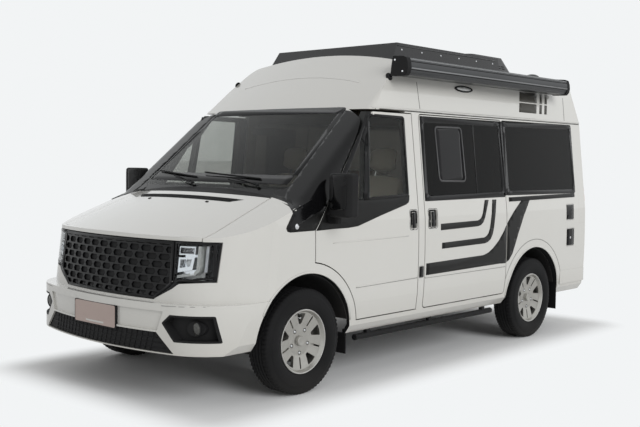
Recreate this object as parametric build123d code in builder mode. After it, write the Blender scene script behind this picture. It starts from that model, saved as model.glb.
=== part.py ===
from build123d import *
import math
import os

os.makedirs("parts", exist_ok=True)

# A short-wheelbase, mid-roof camper van. Millimetres, +Z up, nose toward -Y, +X is the van's left.
# Inside the script lengths run aft of the front axle, and heights run up from the ground.

# ---- overall ----
WHEELBASE = 2933.0
TRACK = 1740.0
NOSE = -965.0            # foremost point of the bumper, from the front axle
NOSE_BACK = 530.0        # where the fenders end under the front doors
REAR_FACE = 3870.0       # outside of the rear doors
SPARE_REACH = 235.0      # how far the covered spare wheel stands out from the rear door
SILL_BOTTOM = 345.0
GUTTER_Z = 1925.0
GUTTER_X = 893.0
WAIST_X = 987.0
WAIST_Z = 860.0
ROOF_TOP = 2368.0
WALL = 50.0              # side walls, doors and roof with their linings
PANEL = 26.0             # single panels of the nose with their inner frames
GLASS = 6.0
SEAT_GAP = 0.3           # glass and trim in their frames
DOOR_GAP = 8.0
DOOR_STEP = 14.0         # the door's inner half stands in by this from its edge
DOOR_LIP = 20.0          # thickness of the door's outer half
FRONT_AXLE_Y = (NOSE - REAR_FACE - SPARE_REACH) / 2.0 - NOSE

# ---- rake of the windscreen and of the bonnet ----
SCREEN_ANGLE = 39.5
SCREEN_BASE_Z = 1200.0   # where the raked sheet starts, inside the engine bay
SCREEN_BASE_Y = -223.0
SCREEN_SAG = 60.0        # bow of the screen across SCREEN_HALF
SCREEN_HALF = 694.0
GLASS_FOOT_Z = 1340.0
PILLAR_ROUND = 60.0
BONNET_ANGLE = 19.5
BONNET_EDGE_Z = 1056.0
BONNET_REAR = -150.0
FACE_LEAN = 7.0          # grille face, from upright
SHELF_Z = 652.0          # top of the bumper
LAMP_TOP = 1026.0
LAMP_FOOT = 785.0        # lower outer corner of the headlamp
LAMP_FOOT_Y = -672.0
LAMP_TOP_Y = -634.0
CELL_DEPTH = 12.0        # honeycomb pockets of the grille, and the inlet of the bonnet

# ---- wheels ----
TYRE_R = 350.0
TYRE_WIDTH = 195.0
RIM_R = 215.0
ARCH_R = 450.0
WELL_R = 438.0
WELL_T = 8.0
KINGPIN_X = 740.0
HUB_R = 98.0

# ---- doors and glass, side view ----
DOOR_BOTTOM = 440.0
DOOR_TOP = 1888.0
DOOR_FRONT = 72.0
DOOR_SHOULDER = 1080.0
DOOR_REAR = 1202.0
SLIDE_FRONT = 1290.0
SLIDE_REAR = 2450.0
GLASS_BOTTOM = 1252.0
GLASS_TOP = 1862.0
REAR_PANE_REAR = 3682.0

# ---- inside ----
FLOOR_Z = 560.0
FLOOR_T = 40.0


def side(x):
    """Sketch plane across the van at x: sketch x runs aft, sketch y runs up."""
    return Plane(origin=(x, FRONT_AXLE_Y, 0), x_dir=(0, 1, 0), z_dir=(1, 0, 0))


def face(y):
    """Sketch plane facing forward at y: sketch x runs left, sketch y runs up."""
    return Plane(origin=(0, FRONT_AXLE_Y + y, 0), x_dir=(1, 0, 0), z_dir=(0, -1, 0))


def level(z):
    """Sketch plane seen from above at height z."""
    return Plane(origin=(0, FRONT_AXLE_Y, z))


def section_prism(inset):
    """The body's cross-section, from sills to roof, as one long bar."""
    with BuildPart() as bar:
        with BuildSketch(face(REAR_FACE - inset)):
            with BuildLine():
                Polyline((0, SILL_BOTTOM), (925, SILL_BOTTOM), (965, 400), (982, 560))
                ThreePointArc((982, 560), (WAIST_X, WAIST_Z), (982, 1120))
                Polyline((982, 1120), (GUTTER_X, GUTTER_Z), (800, 2200))
                ThreePointArc((800, 2200), (772, 2262), (712, 2305))
                ThreePointArc((712, 2305), (360, 2352), (0, ROOF_TOP))
                Line((0, ROOF_TOP), (0, SILL_BOTTOM))
            make_face()
            mirror(about=Plane.YZ)
            if inset > 0:
                offset(amount=-inset, kind=Kind.INTERSECTION)
                with Locations((0, SILL_BOTTOM)):
                    Rectangle(2 * (925 - inset), 2 * inset + 200)
        extrude(amount=REAR_FACE - NOSE + 100)
    return bar.part


def raked_prism(base_z, y_mid, y_end, half, angle, top_z, forward):
    """Everything behind a bowed sheet that leans back at the angle and starts at base_z."""
    lean = math.radians(angle)
    with BuildPart() as bar:
        with BuildSketch(level(base_z)):
            with BuildLine():
                ThreePointArc((-half, y_end), (0, y_mid), (half, y_end))
                Polyline((half, y_end), (half, 6000), (-half, 6000), (-half, y_end))
            make_face()
        extrude(amount=(top_z - base_z) / math.sin(lean), dir=(0, math.cos(lean), math.sin(lean)))
        with BuildSketch(level(0)):
            with Locations((0, forward + 3500)):
                Rectangle(2 * half, 7000)
        extrude(amount=base_z)
    return bar.part


def bow(y_mid, sag, half, x):
    """Where a bowed edge has got to at x."""
    radius = (half * half + sag * sag) / (2 * sag)
    return y_mid + radius - math.sqrt(radius * radius - x * x)


def is_pillar(point):
    """Whether an edge's middle lies where the screen meets the side, below the gutter."""
    return point.Y - FRONT_AXLE_Y < 1000 and 1300 < point.Z < GUTTER_Z and abs(point.X) > 700


def cabin(inset):
    """The cab and load space as a solid, pulled in by the inset."""
    back = inset / math.sin(math.radians(SCREEN_ANGLE))
    y_mid = SCREEN_BASE_Y + back
    y_end = bow(y_mid, SCREEN_SAG, SCREEN_HALF, 1000)
    bar = section_prism(inset)
    rake = raked_prism(SCREEN_BASE_Z, y_mid, y_end, 1000, SCREEN_ANGLE, 2500, y_mid)
    with BuildPart() as hull:
        add(bar)
        add(rake, mode=Mode.INTERSECT)
        corners = edges().filter_by(lambda e: is_pillar(e.center()) and e.length > 500)
        fillet(corners, radius=PILLAR_ROUND)
    return hull.part


def nose_plan(y_mid, x_mid, y_mid_end, x_corner, y_corner, x_side, y_side, inset):
    """Outline of the nose from above: a bowed front, a round corner and a straight side."""
    back = NOSE_BACK + 3 * inset
    with BuildSketch() as plan:
        with BuildLine():
            ThreePointArc((-x_mid, y_mid_end), (0, y_mid), (x_mid, y_mid_end))
            for s in (1, -1):
                ThreePointArc((s * x_mid, y_mid_end), (s * x_corner, y_corner), (s * x_side, y_side))
            Polyline((x_side, y_side), (1050, 0), (1050, back), (-1050, back), (-1050, 0), (-x_side, y_side))
        make_face()
        if inset > 0:
            offset(amount=-inset)
    return plan.sketch


def nose(inset):
    """The engine bay's upper and lower solids, pulled in by the inset and open below."""
    lean = math.radians(FACE_LEAN)
    bar = section_prism(inset)
    back = inset / math.sin(math.radians(BONNET_ANGLE))
    rake = raked_prism(BONNET_EDGE_Z, -850 + back, -560 + back, 1000, BONNET_ANGLE, 1500, -1100)
    face_plan = nose_plan(-905, 620, -835, 860, -690, 975, -380, inset)
    bumper_plan = nose_plan(NOSE, 640, -885, 880, -745, 982, -440, inset)
    with BuildPart() as upper:
        with BuildSketch(level(560)):
            add(face_plan)
        extrude(amount=900 / math.cos(lean), dir=(0, math.sin(lean), math.cos(lean)))
        add(bar, mode=Mode.INTERSECT)
        add(rake, mode=Mode.INTERSECT)
    with BuildPart() as lower:
        with BuildSketch(level(330 - inset)):
            add(bumper_plan)
        extrude(amount=SHELF_Z - 330)
        add(bar, mode=Mode.INTERSECT)
    return upper.part, lower.part


def side_outline(points, radius=0.0, left=500.0, right=1100.0):
    """A bar across the van with the given side-view outline."""
    with BuildPart() as bar:
        with BuildSketch(side(left)):
            with BuildLine():
                Polyline(*points, close=True)
            make_face()
            if radius > 0:
                fillet(vertices(), radius=radius)
        extrude(amount=right - left)
    return bar.part


def keep(stock, *tools):
    """What the stock shares with every tool."""
    with BuildPart() as piece:
        add(stock)
        for tool in tools:
            add(tool, mode=Mode.INTERSECT)
    return piece.part


def cut(stock, *tools):
    """The stock without the tools."""
    with BuildPart() as piece:
        add(stock)
        for tool in tools:
            add(tool, mode=Mode.SUBTRACT)
    return piece.part


def join(*parts):
    with BuildPart() as piece:
        for part in parts:
            add(part)
    return piece.part


def brick(x0, x1, y0, y1, z0, z1, radius=0.0):
    """A box between six planes, with its upright edges rounded."""
    with BuildPart() as piece:
        with BuildSketch(level(z0)):
            with Locations(((x0 + x1) / 2, (y0 + y1) / 2)):
                Rectangle(x1 - x0, y1 - y0)
            if radius > 0:
                fillet(vertices(), radius=radius)
        extrude(amount=z1 - z0)
    return piece.part


def pipe(start, end, radius):
    """A round bar between two points given in van lengths."""
    a = Vector(start[0], start[1] + FRONT_AXLE_Y, start[2])
    b = Vector(end[0], end[1] + FRONT_AXLE_Y, end[2])
    with BuildPart() as bar:
        with BuildSketch(Plane(origin=a, z_dir=b - a)):
            Circle(radius)
        extrude(amount=(b - a).length)
    return bar.part


def arch(y, radius, x0=400.0, x1=1100.0):
    """A round bar across the van at wheel height."""
    with BuildPart() as bar:
        with BuildSketch(side(x0)):
            with Locations((y, TYRE_R)):
                Circle(radius)
        extrude(amount=x1 - x0)
    return bar.part


def mirrored(part):
    """The same part on the van's right-hand side."""
    with BuildPart() as other:
        add(part)
        mirror(about=Plane.YZ, mode=Mode.REPLACE)
    return other.part


# ---- hull: outer and inner solids ----
cab_outer = cabin(0)
cab_inner = cabin(WALL)
nose_upper, nose_lower = nose(0)
inner_upper, inner_lower = nose(PANEL)
core_upper, core_lower = nose(CELL_DEPTH)
front_shell = cut(nose_upper, core_upper)
cab_skin = cut(cab_outer, cab_inner)
nose_skin = cut(join(nose_upper, nose_lower), inner_upper, inner_lower)
glass_skin = cut(cab_outer, cabin(GLASS))
lip_inner = cabin(DOOR_LIP)
side_core = section_prism(WALL + 25)
living_inner = cabin(WALL + SEAT_GAP)
front_arch = arch(0, ARCH_R)
rear_arch = arch(WHEELBASE, ARCH_R)

# ---- side-view outlines, left-hand side ----
PILLAR_TOP_Y = 705.0
pillar_slope = (PILLAR_TOP_Y - DOOR_FRONT) / (DOOR_TOP - DOOR_SHOULDER)


DOOR_ARCH_R = 525.0      # the door's lower front corner follows the wheel arch at this radius
door_curve = [
    (y, TYRE_R + math.sqrt(DOOR_ARCH_R**2 - y * y))
    for y in (DOOR_FRONT, DOOR_ARCH_R / math.sqrt(2), math.sqrt(DOOR_ARCH_R**2 - (DOOR_BOTTOM - TYRE_R) ** 2))
]


def pillar_y(z):
    """Front edge of the door frame, up the windscreen pillar."""
    return DOOR_FRONT + pillar_slope * (z - DOOR_SHOULDER)


def door_prism(grow):
    """The front door's side view, grown outwards by the gap."""
    with BuildPart() as bar:
        with BuildSketch(side(500)):
            with BuildLine():
                ThreePointArc(door_curve[0], door_curve[1], door_curve[2])
                Polyline(
                    door_curve[2],
                    (DOOR_REAR, DOOR_BOTTOM),
                    (DOOR_REAR, GLASS_BOTTOM),
                    (DOOR_REAR - 6, DOOR_TOP),
                    (PILLAR_TOP_Y, DOOR_TOP),
                    (DOOR_FRONT, DOOR_SHOULDER),
                    door_curve[0],
                )
            make_face()
            if grow != 0:
                offset(amount=grow, kind=Kind.INTERSECTION if grow > 0 else Kind.ARC)
        extrude(amount=600)
    return bar.part


def round_prism(points, radius, shrink=0.0, plane=side(500), depth=600.0):
    """A bar with a rounded outline, its edge pulled in by the shrink."""
    with BuildPart() as bar:
        with BuildSketch(plane):
            with BuildLine():
                Polyline(*points, close=True)
            make_face()
            fillet(vertices(), radius=radius)
            if shrink != 0:
                offset(amount=-shrink)
        extrude(amount=depth)
    return bar.part


door_hole = cut(door_prism(DOOR_GAP), side_core)
SLIDE_EDGE = (
    (SLIDE_FRONT, DOOR_BOTTOM),
    (SLIDE_REAR, DOOR_BOTTOM),
    (SLIDE_REAR, DOOR_TOP),
    (SLIDE_FRONT, DOOR_TOP),
)
MAIN_LIGHT = ((628, 1270), (DOOR_REAR - 104, 1288), (DOOR_REAR - 98, GLASS_TOP), (692, GLASS_TOP + 4))
QUARTER_LIGHT = ((288, 1262), (584, 1268), (652, 1770))
PANE_RIM = 22.0          # door or wall left round the flush side panes
SLIDE_LIGHT = (
    (SLIDE_FRONT + PANE_RIM, GLASS_BOTTOM),
    (SLIDE_REAR - PANE_RIM, GLASS_BOTTOM + 10),
    (SLIDE_REAR - PANE_RIM, GLASS_TOP + 8),
    (SLIDE_FRONT + PANE_RIM, GLASS_TOP),
)
REAR_PANE_FRONT = SLIDE_REAR + DOOR_GAP + PANE_RIM
REAR_LIGHT = (
    (REAR_PANE_FRONT, GLASS_BOTTOM + 16),
    (REAR_PANE_REAR, GLASS_BOTTOM + 16),
    (REAR_PANE_REAR, GLASS_TOP + 22),
    (REAR_PANE_FRONT, GLASS_TOP + 8),
)
LIGHT_ROUND = 30.0

# ---- bonnet, fenders, cowl ----


def bonnet_prism(grow):
    """Plan outline of the bonnet: it widens toward the front and is bowed along the cowl."""
    wide = 760 + grow
    narrow = 700 + grow
    with BuildPart() as bar:
        with BuildSketch(level(LAMP_TOP + 6 - grow)):
            with BuildLine():
                ThreePointArc((-narrow, -75 + grow), (0, BONNET_REAR + grow), (narrow, -75 + grow))
                Polyline((narrow, -75 + grow), (wide, -600), (wide, -1100), (-wide, -1100))
                Polyline((-wide, -1100), (-wide, -600), (-narrow, -75 + grow))
            make_face()
        extrude(amount=500)
    return bar.part


def inlet_prism(grow):
    """Plan outline of the air inlet along the rear of the bonnet."""
    with BuildPart() as bar:
        with BuildSketch(level(1100)):
            with BuildLine():
                ThreePointArc((-554, -168), (0, -208), (554, -168))
                Line((554, -168), (478, -236))
                ThreePointArc((478, -236), (0, -268), (-478, -236))
                Line((-478, -236), (-554, -168))
            make_face()
            if grow > 0:
                offset(amount=grow)
        extrude(amount=400)
    return bar.part


bonnet_inlet = keep(front_shell, inlet_prism(0))
bonnet = cut(keep(nose_skin, bonnet_prism(0)), cut(inlet_prism(SEAT_GAP), nose(CELL_DEPTH + SEAT_GAP)[0]))
bonnet_hole = bonnet_prism(DOOR_GAP)
bumper_zone = side_outline(
    ((-1100, 300), (-440, 300), (-400, 560), (-690, LAMP_FOOT), (-1100, LAMP_FOOT)), left=-1100
)
lamp_line = side_outline(
    ((-1100, LAMP_FOOT), (LAMP_FOOT_Y, LAMP_FOOT), (LAMP_TOP_Y, LAMP_TOP), (-1100, LAMP_TOP)), left=-1100
)
fender_zone = side_outline(
    (
        (-690, LAMP_FOOT),
        (LAMP_FOOT_Y + 4, LAMP_FOOT),
        (LAMP_TOP_Y + 4, LAMP_TOP + 4),
        (-1100, LAMP_TOP + 4),
        (-1100, 1500),
        (NOSE_BACK, 1500),
        (NOSE_BACK, 300),
        (-440, 300),
        (-400, 560),
    ),
    left=480,
)
with BuildPart() as cowl_zone:
    with BuildSketch(level(1100)):
        with BuildLine():
            ThreePointArc((-700, -75 + DOOR_GAP), (0, BONNET_REAR + DOOR_GAP), (700, -75 + DOOR_GAP))
            Polyline((700, -75 + DOOR_GAP), (700, 30), (-700, 30), (-700, -75 + DOOR_GAP))
        make_face()
    extrude(amount=400)
fender_left = cut(
    keep(nose_skin, fender_zone),
    bonnet_hole,
    door_hole,
    front_arch,
    cab_inner,
    brick(-1100, 700, -300, 1000, 300, 1500),
    side_outline(
        (
            (DOOR_FRONT - DOOR_GAP, DOOR_SHOULDER),
            (pillar_y(1500) - DOOR_GAP, 1500),
            (1000, 1500),
            (1000, DOOR_SHOULDER),
        )
    ),
)
cowl_panel = cut(keep(nose_skin, cowl_zone.part), cab_outer)

# ---- front face: bumper, grille, lamps ----


def face_prism(points, radius=0.0, depth=700.0, shrink=0.0):
    """A bar from the nose aft with the given front-view outline."""
    with BuildPart() as bar:
        with BuildSketch(face(NOSE - 60 + depth)):
            with BuildLine():
                Polyline(*points, close=True)
            make_face()
            if radius > 0:
                fillet(vertices(), radius=radius)
            if shrink > 0:
                offset(amount=-shrink, kind=Kind.INTERSECTION)
        extrude(amount=depth)
    return bar.part


GRILLE_EDGE = ((-588, LAMP_TOP), (588, LAMP_TOP), (600, 760), (470, 662), (-470, 662), (-600, 760))
LAMP_EDGE = ((594, LAMP_TOP), (1000, LAMP_TOP), (1000, 800), (700, 775), (606, 765))
FOG_EDGE = ((600, 535), (660, 590), (900, 590), (925, 425), (690, 425))
INTAKE_EDGE = ((-560, 475), (560, 475), (690, 352), (-690, 352))
FOG_DEPTH = 420.0
INTAKE_DEPTH = 300.0
grille_zone = face_prism(GRILLE_EDGE)
lamp_zone = face_prism(LAMP_EDGE)
fog_zone = face_prism(FOG_EDGE, radius=8, depth=FOG_DEPTH)
intake_zone = face_prism(INTAKE_EDGE, depth=INTAKE_DEPTH)
CELL_PITCH = 104.0       # honeycomb of the grille: across, and from row to row
ROW_PITCH = 47.0
GRILLE_RIM = 20.0
with BuildPart() as cells:
    with BuildSketch(face(NOSE + 640)):
        for shift_x, shift_z in ((0, 0), (CELL_PITCH / 2, ROW_PITCH)):
            with Locations((shift_x, LAMP_TOP - 170 - ROW_PITCH / 2 + shift_z)):
                with GridLocations(CELL_PITCH, 2 * ROW_PITCH, 12, 4):
                    Polygon((-46, 0), (-32, 19), (32, 19), (46, 0), (32, -19), (-32, -19))
    extrude(amount=700)
cell_tools = keep(front_shell, cells.part, face_prism(GRILLE_EDGE, shrink=GRILLE_RIM))
grille_panel = cut(keep(nose_skin, grille_zone), cell_tools)
back_upper, back_lower = nose(3 * PANEL)
pocket_upper, pocket_lower = nose(2 * PANEL)
LENS = 4.0
LAMP_WALL = 12.0


def lamp_form(shrink):
    """The headlamp's outline, seen from ahead and from the side, pulled in by the shrink."""
    side_edge = (
        (-1100, LAMP_FOOT + shrink),
        (LAMP_FOOT_Y - shrink, LAMP_FOOT + shrink),
        (LAMP_TOP_Y - shrink, LAMP_TOP - shrink),
        (-1100, LAMP_TOP - shrink),
    )
    return keep(face_prism(LAMP_EDGE, shrink=shrink), side_outline(side_edge, left=-1100))


# front view of what stands in each lamp: two projector boxes, the light guide round them, an outer band
LAMP_FORMS = (
    ((622, 946), (724, 950), (724, 1000), (622, 998)),
    ((622, 838), (716, 858), (724, 934), (622, 930)),
    ((622, 802), (735, 826), (757, 850), (757, 1002), (739, 1002), (739, 858), (727, 843), (622, 820)),
    ((782, 842), (796, 846), (796, 1002), (782, 1002)),
)
REFLECTOR = ((634, 866), (700, 878), (708, 922), (634, 918))
lamp_stand = keep(join(*(face_prism(edge) for edge in LAMP_FORMS)), core_upper)
lamp_hollow = cut(keep(nose_upper, lamp_form(LAMP_WALL)), pocket_upper, lamp_stand)
lamp_bowl = cut(keep(face_prism(REFLECTOR), core_upper), pocket_upper)
headlamp_left = cut(keep(nose_upper, lamp_form(0)), back_upper, lamp_hollow, lamp_bowl)
lens_left = cut(keep(nose_upper, lamp_form(LAMP_WALL + SEAT_GAP)), nose(LENS)[0])
RECESS_EDGE = ((-610, 606), (610, 606), (566, 486), (-566, 486))
recess = cut(keep(nose_lower, face_prism(RECESS_EDGE, depth=FOG_DEPTH)), core_lower)
bumper = cut(
    keep(nose_skin, bumper_zone),
    grille_zone,
    lamp_zone,
    mirrored(lamp_zone),
    fog_zone,
    mirrored(fog_zone),
    intake_zone,
    front_arch,
    mirrored(front_arch),
    recess,
)
fog_plug = cut(
    keep(nose_lower, face_prism(FOG_EDGE, radius=8, depth=FOG_DEPTH, shrink=SEAT_GAP)),
    back_lower,
    front_arch,
    cut(face_prism(FOG_EDGE, depth=FOG_DEPTH, shrink=12), pocket_lower),
)
FOG_LAMP = (790.0, 508.0)    # middle of the round lamp, across and up
FOG_LAMP_R = 46.0
with BuildPart() as fog_lamp:
    with BuildSketch(face(-560)):
        with Locations(FOG_LAMP):
            Circle(FOG_LAMP_R)
    extrude(amount=500)
fog_plug = join(fog_plug, cut(keep(fog_lamp.part, nose(1.3 * PANEL)[1]), nose(2.2 * PANEL)[1]))
intake_plug = keep(
    cut(nose(PANEL / 2)[1], nose(1.5 * PANEL)[1]),
    face_prism(INTAKE_EDGE, depth=INTAKE_DEPTH, shrink=SEAT_GAP),
    brick(-1100, 1100, -1100, -600, 346, 600),
)
inserts = join(fog_plug, mirrored(fog_plug), intake_plug)

# ---- glass and roof ----
SCREEN_EDGE = (
    (-772, GLASS_FOOT_Z),
    (772, GLASS_FOOT_Z),
    (692, 1918),
    (-692, 1918),
)
ROOF_EDGE = 1906.0
screen_hole = round_prism(SCREEN_EDGE, 40, plane=face(1200), depth=1500)
windscreen = keep(glass_skin, round_prism(SCREEN_EDGE, 40, SEAT_GAP, face(1200), 1500))
roof_zone = side_outline(
    (
        (-400, SCREEN_BASE_Z + 20),
        (pillar_y(SCREEN_BASE_Z + 20) - DOOR_GAP, SCREEN_BASE_Z + 20),
        (PILLAR_TOP_Y - DOOR_GAP, ROOF_EDGE),
        (REAR_FACE + 50, ROOF_EDGE),
        (REAR_FACE + 50, 2600),
        (-400, 2600),
    ),
    left=-1100,
)
REAR_EDGE = ((6, 560), (885, 560), (896, 860), (888, 1120), (806, 1925), (738, 2150), (6, 2150))


def rear_prism(grow):
    with BuildPart() as bar:
        with BuildSketch(face(REAR_FACE + 50)):
            with BuildLine():
                Polyline(*REAR_EDGE, close=True)
            make_face()
            if grow > 0:
                offset(amount=grow, kind=Kind.INTERSECTION)
        extrude(amount=WALL + 60)
    return bar.part


rear_hole = rear_prism(DOOR_GAP)
roof = cut(
    keep(cab_skin, roof_zone),
    screen_hole,
    door_hole,
    mirrored(door_hole),
    rear_hole,
    mirrored(rear_hole),
    nose_upper,
)

# ---- side walls ----
wall_zone = side_outline(
    (
        (NOSE_BACK, SILL_BOTTOM - 20),
        (REAR_FACE + 50, SILL_BOTTOM - 20),
        (REAR_FACE + 50, ROOF_EDGE),
        (DOOR_REAR - 80, ROOF_EDGE),
        (DOOR_REAR - 80, DOOR_BOTTOM - DOOR_GAP),
        (NOSE_BACK, DOOR_BOTTOM - DOOR_GAP),
    ),
    left=0,
)
TAIL_EDGE = ((910, 980), (1000, 980), (1000, 1460), (874, 1460))
tail_plane = face(REAR_FACE + 20)
tail_lamp = keep(cab_skin, round_prism(TAIL_EDGE, 10, 0, tail_plane, 140))
tail_hole = round_prism(TAIL_EDGE, 10, -SEAT_GAP, tail_plane, 140 + SEAT_GAP)
wall_bare = cut(keep(cab_skin, wall_zone), door_hole, rear_hole, rear_arch, tail_hole)
slide_pane = round_prism(SLIDE_LIGHT, LIGHT_ROUND)
rear_pane = round_prism(REAR_LIGHT, LIGHT_ROUND)
wall_left = cut(wall_bare, round_prism(SLIDE_EDGE, 30, -DOOR_GAP), rear_pane)
wall_right = mirrored(cut(wall_bare, slide_pane, rear_pane))
door_outer = cut(keep(cab_outer, door_prism(0)), lip_inner)
door_inner = cut(keep(lip_inner, door_prism(-DOOR_STEP)), cab_inner)
door_left = cut(
    join(door_outer, door_inner),
    side_core,
    front_arch,
    round_prism(MAIN_LIGHT, 20),
    round_prism(QUARTER_LIGHT, 12),
)
door_glass = join(
    keep(glass_skin, round_prism(MAIN_LIGHT, 20, SEAT_GAP)),
    keep(glass_skin, round_prism(QUARTER_LIGHT, 12, SEAT_GAP)),
)
HANDLE_Z = (1042.0, 1176.0)
HANDLE_BAR = 40.0        # width of the upright pull in its recess
HANDLE_ROUND = 16.0


def handle_recess(front, rear):
    """The dished recess round an upright pull; the pull itself is what the dish leaves standing."""
    low, high = HANDLE_Z
    mid = (front + rear) / 2
    dish = round_prism(((front, low), (rear, low), (rear, high), (front, high)), HANDLE_ROUND)
    bar = side_outline(
        (
            (mid - HANDLE_BAR / 2, low - 20),
            (mid + HANDLE_BAR / 2, low - 20),
            (mid + HANDLE_BAR / 2, high - 12),
            (mid - HANDLE_BAR / 2, high - 12),
        )
    )
    return cut(keep(cab_outer, dish), lip_inner, bar)


door_left = cut(door_left, handle_recess(DOOR_REAR - 98, DOOR_REAR - 16))
slide_door = cut(
    keep(cab_skin, round_prism(SLIDE_EDGE, 30)), rear_arch, slide_pane, handle_recess(SLIDE_FRONT + 44, SLIDE_FRONT + 152)
)
slide_glass = keep(glass_skin, round_prism(SLIDE_LIGHT, LIGHT_ROUND, SEAT_GAP))
rear_side_glass = keep(glass_skin, round_prism(REAR_LIGHT, LIGHT_ROUND, SEAT_GAP))
fixed_glass = join(rear_side_glass, mirrored(rear_side_glass), mirrored(slide_glass))

# ---- rear doors ----
REAR_WINDOW = ((150, 1290), (790, 1290), (740, 1840), (150, 1840))
rear_door = cut(keep(cab_skin, rear_prism(0)), round_prism(REAR_WINDOW, 40, 0, face(REAR_FACE + 50), 200))
rear_glass = keep(
    glass_skin, round_prism(REAR_WINDOW, 40, SEAT_GAP, face(REAR_FACE + 50), 200)
)

REAR_HINGE_X = 902.0
REAR_HINGE_Y = REAR_FACE + 10.0
REAR_HINGE_R = 9.0
LEAF_H = 30.0
LEAF_T = 6.0
# heights of the rear door hinges, the inner end of the door's leaf and the edge of the door there
REAR_HINGES = ((620.0, 800.0, 880.0), (900.0, 884.0, 892.0), (1560.0, 790.0, 838.0))


def hinge_barrel(z):
    return pipe((REAR_HINGE_X, REAR_HINGE_Y, z), (REAR_HINGE_X, REAR_HINGE_Y, z + LEAF_H), REAR_HINGE_R)


door_leaves = join(
    *(hinge_barrel(z) for z, inner, edge in REAR_HINGES),
    *(
        brick(inner, REAR_HINGE_X - 5, REAR_FACE + 0.5, REAR_FACE + LEAF_T, z, z + LEAF_H)
        for z, inner, edge in REAR_HINGES
    ),
    *(brick(inner, edge, REAR_FACE - 1, REAR_FACE + LEAF_T, z, z + LEAF_H) for z, inner, edge in REAR_HINGES),
)
wall_leaves = join(
    *(hinge_barrel(z + LEAF_H + SEAT_GAP) for z, inner, edge in REAR_HINGES),
    *(
        brick(REAR_HINGE_X + 5, REAR_HINGE_X + 20, REAR_FACE - 1, REAR_FACE + LEAF_T, z + LEAF_H + SEAT_GAP, z + 2 * LEAF_H)
        for z, inner, edge in REAR_HINGES
    ),
)
rear_door = join(rear_door, door_leaves)
# flush covers in the left wall, front, rear, bottom and top: filler flap, service hatch, latch cover
COVERS = ((3500, 3642, 1018, 1160), (3507, 3652, 776, 938), (DOOR_REAR + 16, SLIDE_FRONT - 16, 672, 756))
COVER_ROUND = 8.0
COVER_GAP = 3.0


def cover_zone(grow):
    return join(
        *(
            round_prism(((front, low), (rear, low), (rear, high), (front, high)), COVER_ROUND, -grow)
            for front, rear, low, high in COVERS
        )
    )


covers = cut(keep(cab_outer, cover_zone(0)), lip_inner)
wall_left = cut(join(wall_left, wall_leaves), cut(cover_zone(COVER_GAP), cabin(DOOR_LIP + SEAT_GAP)))
wall_right = join(wall_right, mirrored(wall_leaves))
REAR_PULL = ((-170, 1010), (-60, 1010), (-60, 1100), (-170, 1100))
rear_pull_dish = round_prism(REAR_PULL, 14, plane=face(REAR_FACE + 20), depth=60)
rear_pull_bar = brick(-180, -50, REAR_FACE - 60, REAR_FACE + 20, 1042, 1072)
rear_door_right = cut(mirrored(rear_door), cut(keep(cab_outer, rear_pull_dish), lip_inner, rear_pull_bar))

SPARE_X = 520.0
SPARE_Z = 990.0
SPARE_COVER_R = 362.0
with BuildPart() as spare:
    with BuildSketch(face(REAR_FACE + SPARE_REACH)):
        with Locations((SPARE_X, SPARE_Z)):
            Circle(SPARE_COVER_R)
    extrude(amount=SPARE_REACH - SEAT_GAP)
    fillet(edges().group_by(Axis.Y)[-1], radius=45)
REAR_BUMPER_OUT = 3975.0
with BuildPart() as rear_bumper_bar:
    with BuildSketch(level(430)):
        with BuildLine():
            ThreePointArc((982, 3820), (950, 3925), (850, 3955))
            ThreePointArc((850, 3955), (0, REAR_BUMPER_OUT), (-850, 3955))
            ThreePointArc((-850, 3955), (-950, 3925), (-982, 3820))
            Polyline((-982, 3820), (-982, WHEELBASE + ARCH_R + 30), (982, WHEELBASE + ARCH_R + 30), (982, 3820))
        make_face()
    extrude(amount=120)
rear_bumper = cut(rear_bumper_bar.part, brick(-945, 945, 0, REAR_FACE + SEAT_GAP, 300, 1000), cab_outer)
# ---- floor, bulkhead, wheel wells ----
FLOOR_HALF = 940.0
WELL_OUT = 935.0          # outer rim of the rear wheel housings
with BuildPart() as floor:
    with BuildSketch(side(-FLOOR_HALF)):
        with BuildLine():
            Polyline(
                (REAR_FACE - WALL - 1, FLOOR_Z),
                (REAR_FACE - WALL - 1, FLOOR_Z - FLOOR_T),
                (470, FLOOR_Z - FLOOR_T),
                (20, 1010),
                (20, 1150),
                (60, 1150),
                (60, 1025),
                (490, FLOOR_Z),
                close=True,
            )
        make_face()
    extrude(amount=2 * FLOOR_HALF)
WELL_INNER_X = 730.0
WELL_FOOT = 450.0
FRONT_WELL_X = 545.0


def well(y, x_in, x_out):
    """A wheel housing: a half-round hood over the wheel with a flat inner wall."""
    with BuildPart() as hood:
        with BuildSketch(side(x_in)):
            with Locations((y, TYRE_R)):
                Circle(WELL_R + WELL_T)
        extrude(amount=x_out - x_in)
        with BuildSketch(side(x_in + WELL_T)):
            with Locations((y, TYRE_R)):
                Circle(WELL_R)
        extrude(amount=x_out - x_in, mode=Mode.SUBTRACT)
        with BuildSketch(level(-200)):
            with Locations((0, y)):
                Rectangle(3000, 2000)
        extrude(amount=WELL_FOOT + 200, mode=Mode.SUBTRACT)
    return hood.part


rear_well = well(WHEELBASE, WELL_INNER_X, WELL_OUT)
front_well = well(0, FRONT_WELL_X, 955)
front_well = cut(front_well, brick(0, 1100, -1000, -700, 0, 2000))
well_holes = join(arch(WHEELBASE, WELL_R + WELL_T, WELL_INNER_X, 1100), arch(0, WELL_R + WELL_T, FRONT_WELL_X, 1100))
floor_pan = keep(cut(floor.part, well_holes, mirrored(well_holes)), living_inner)
wells = join(rear_well, mirrored(rear_well), front_well, mirrored(front_well))

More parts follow.
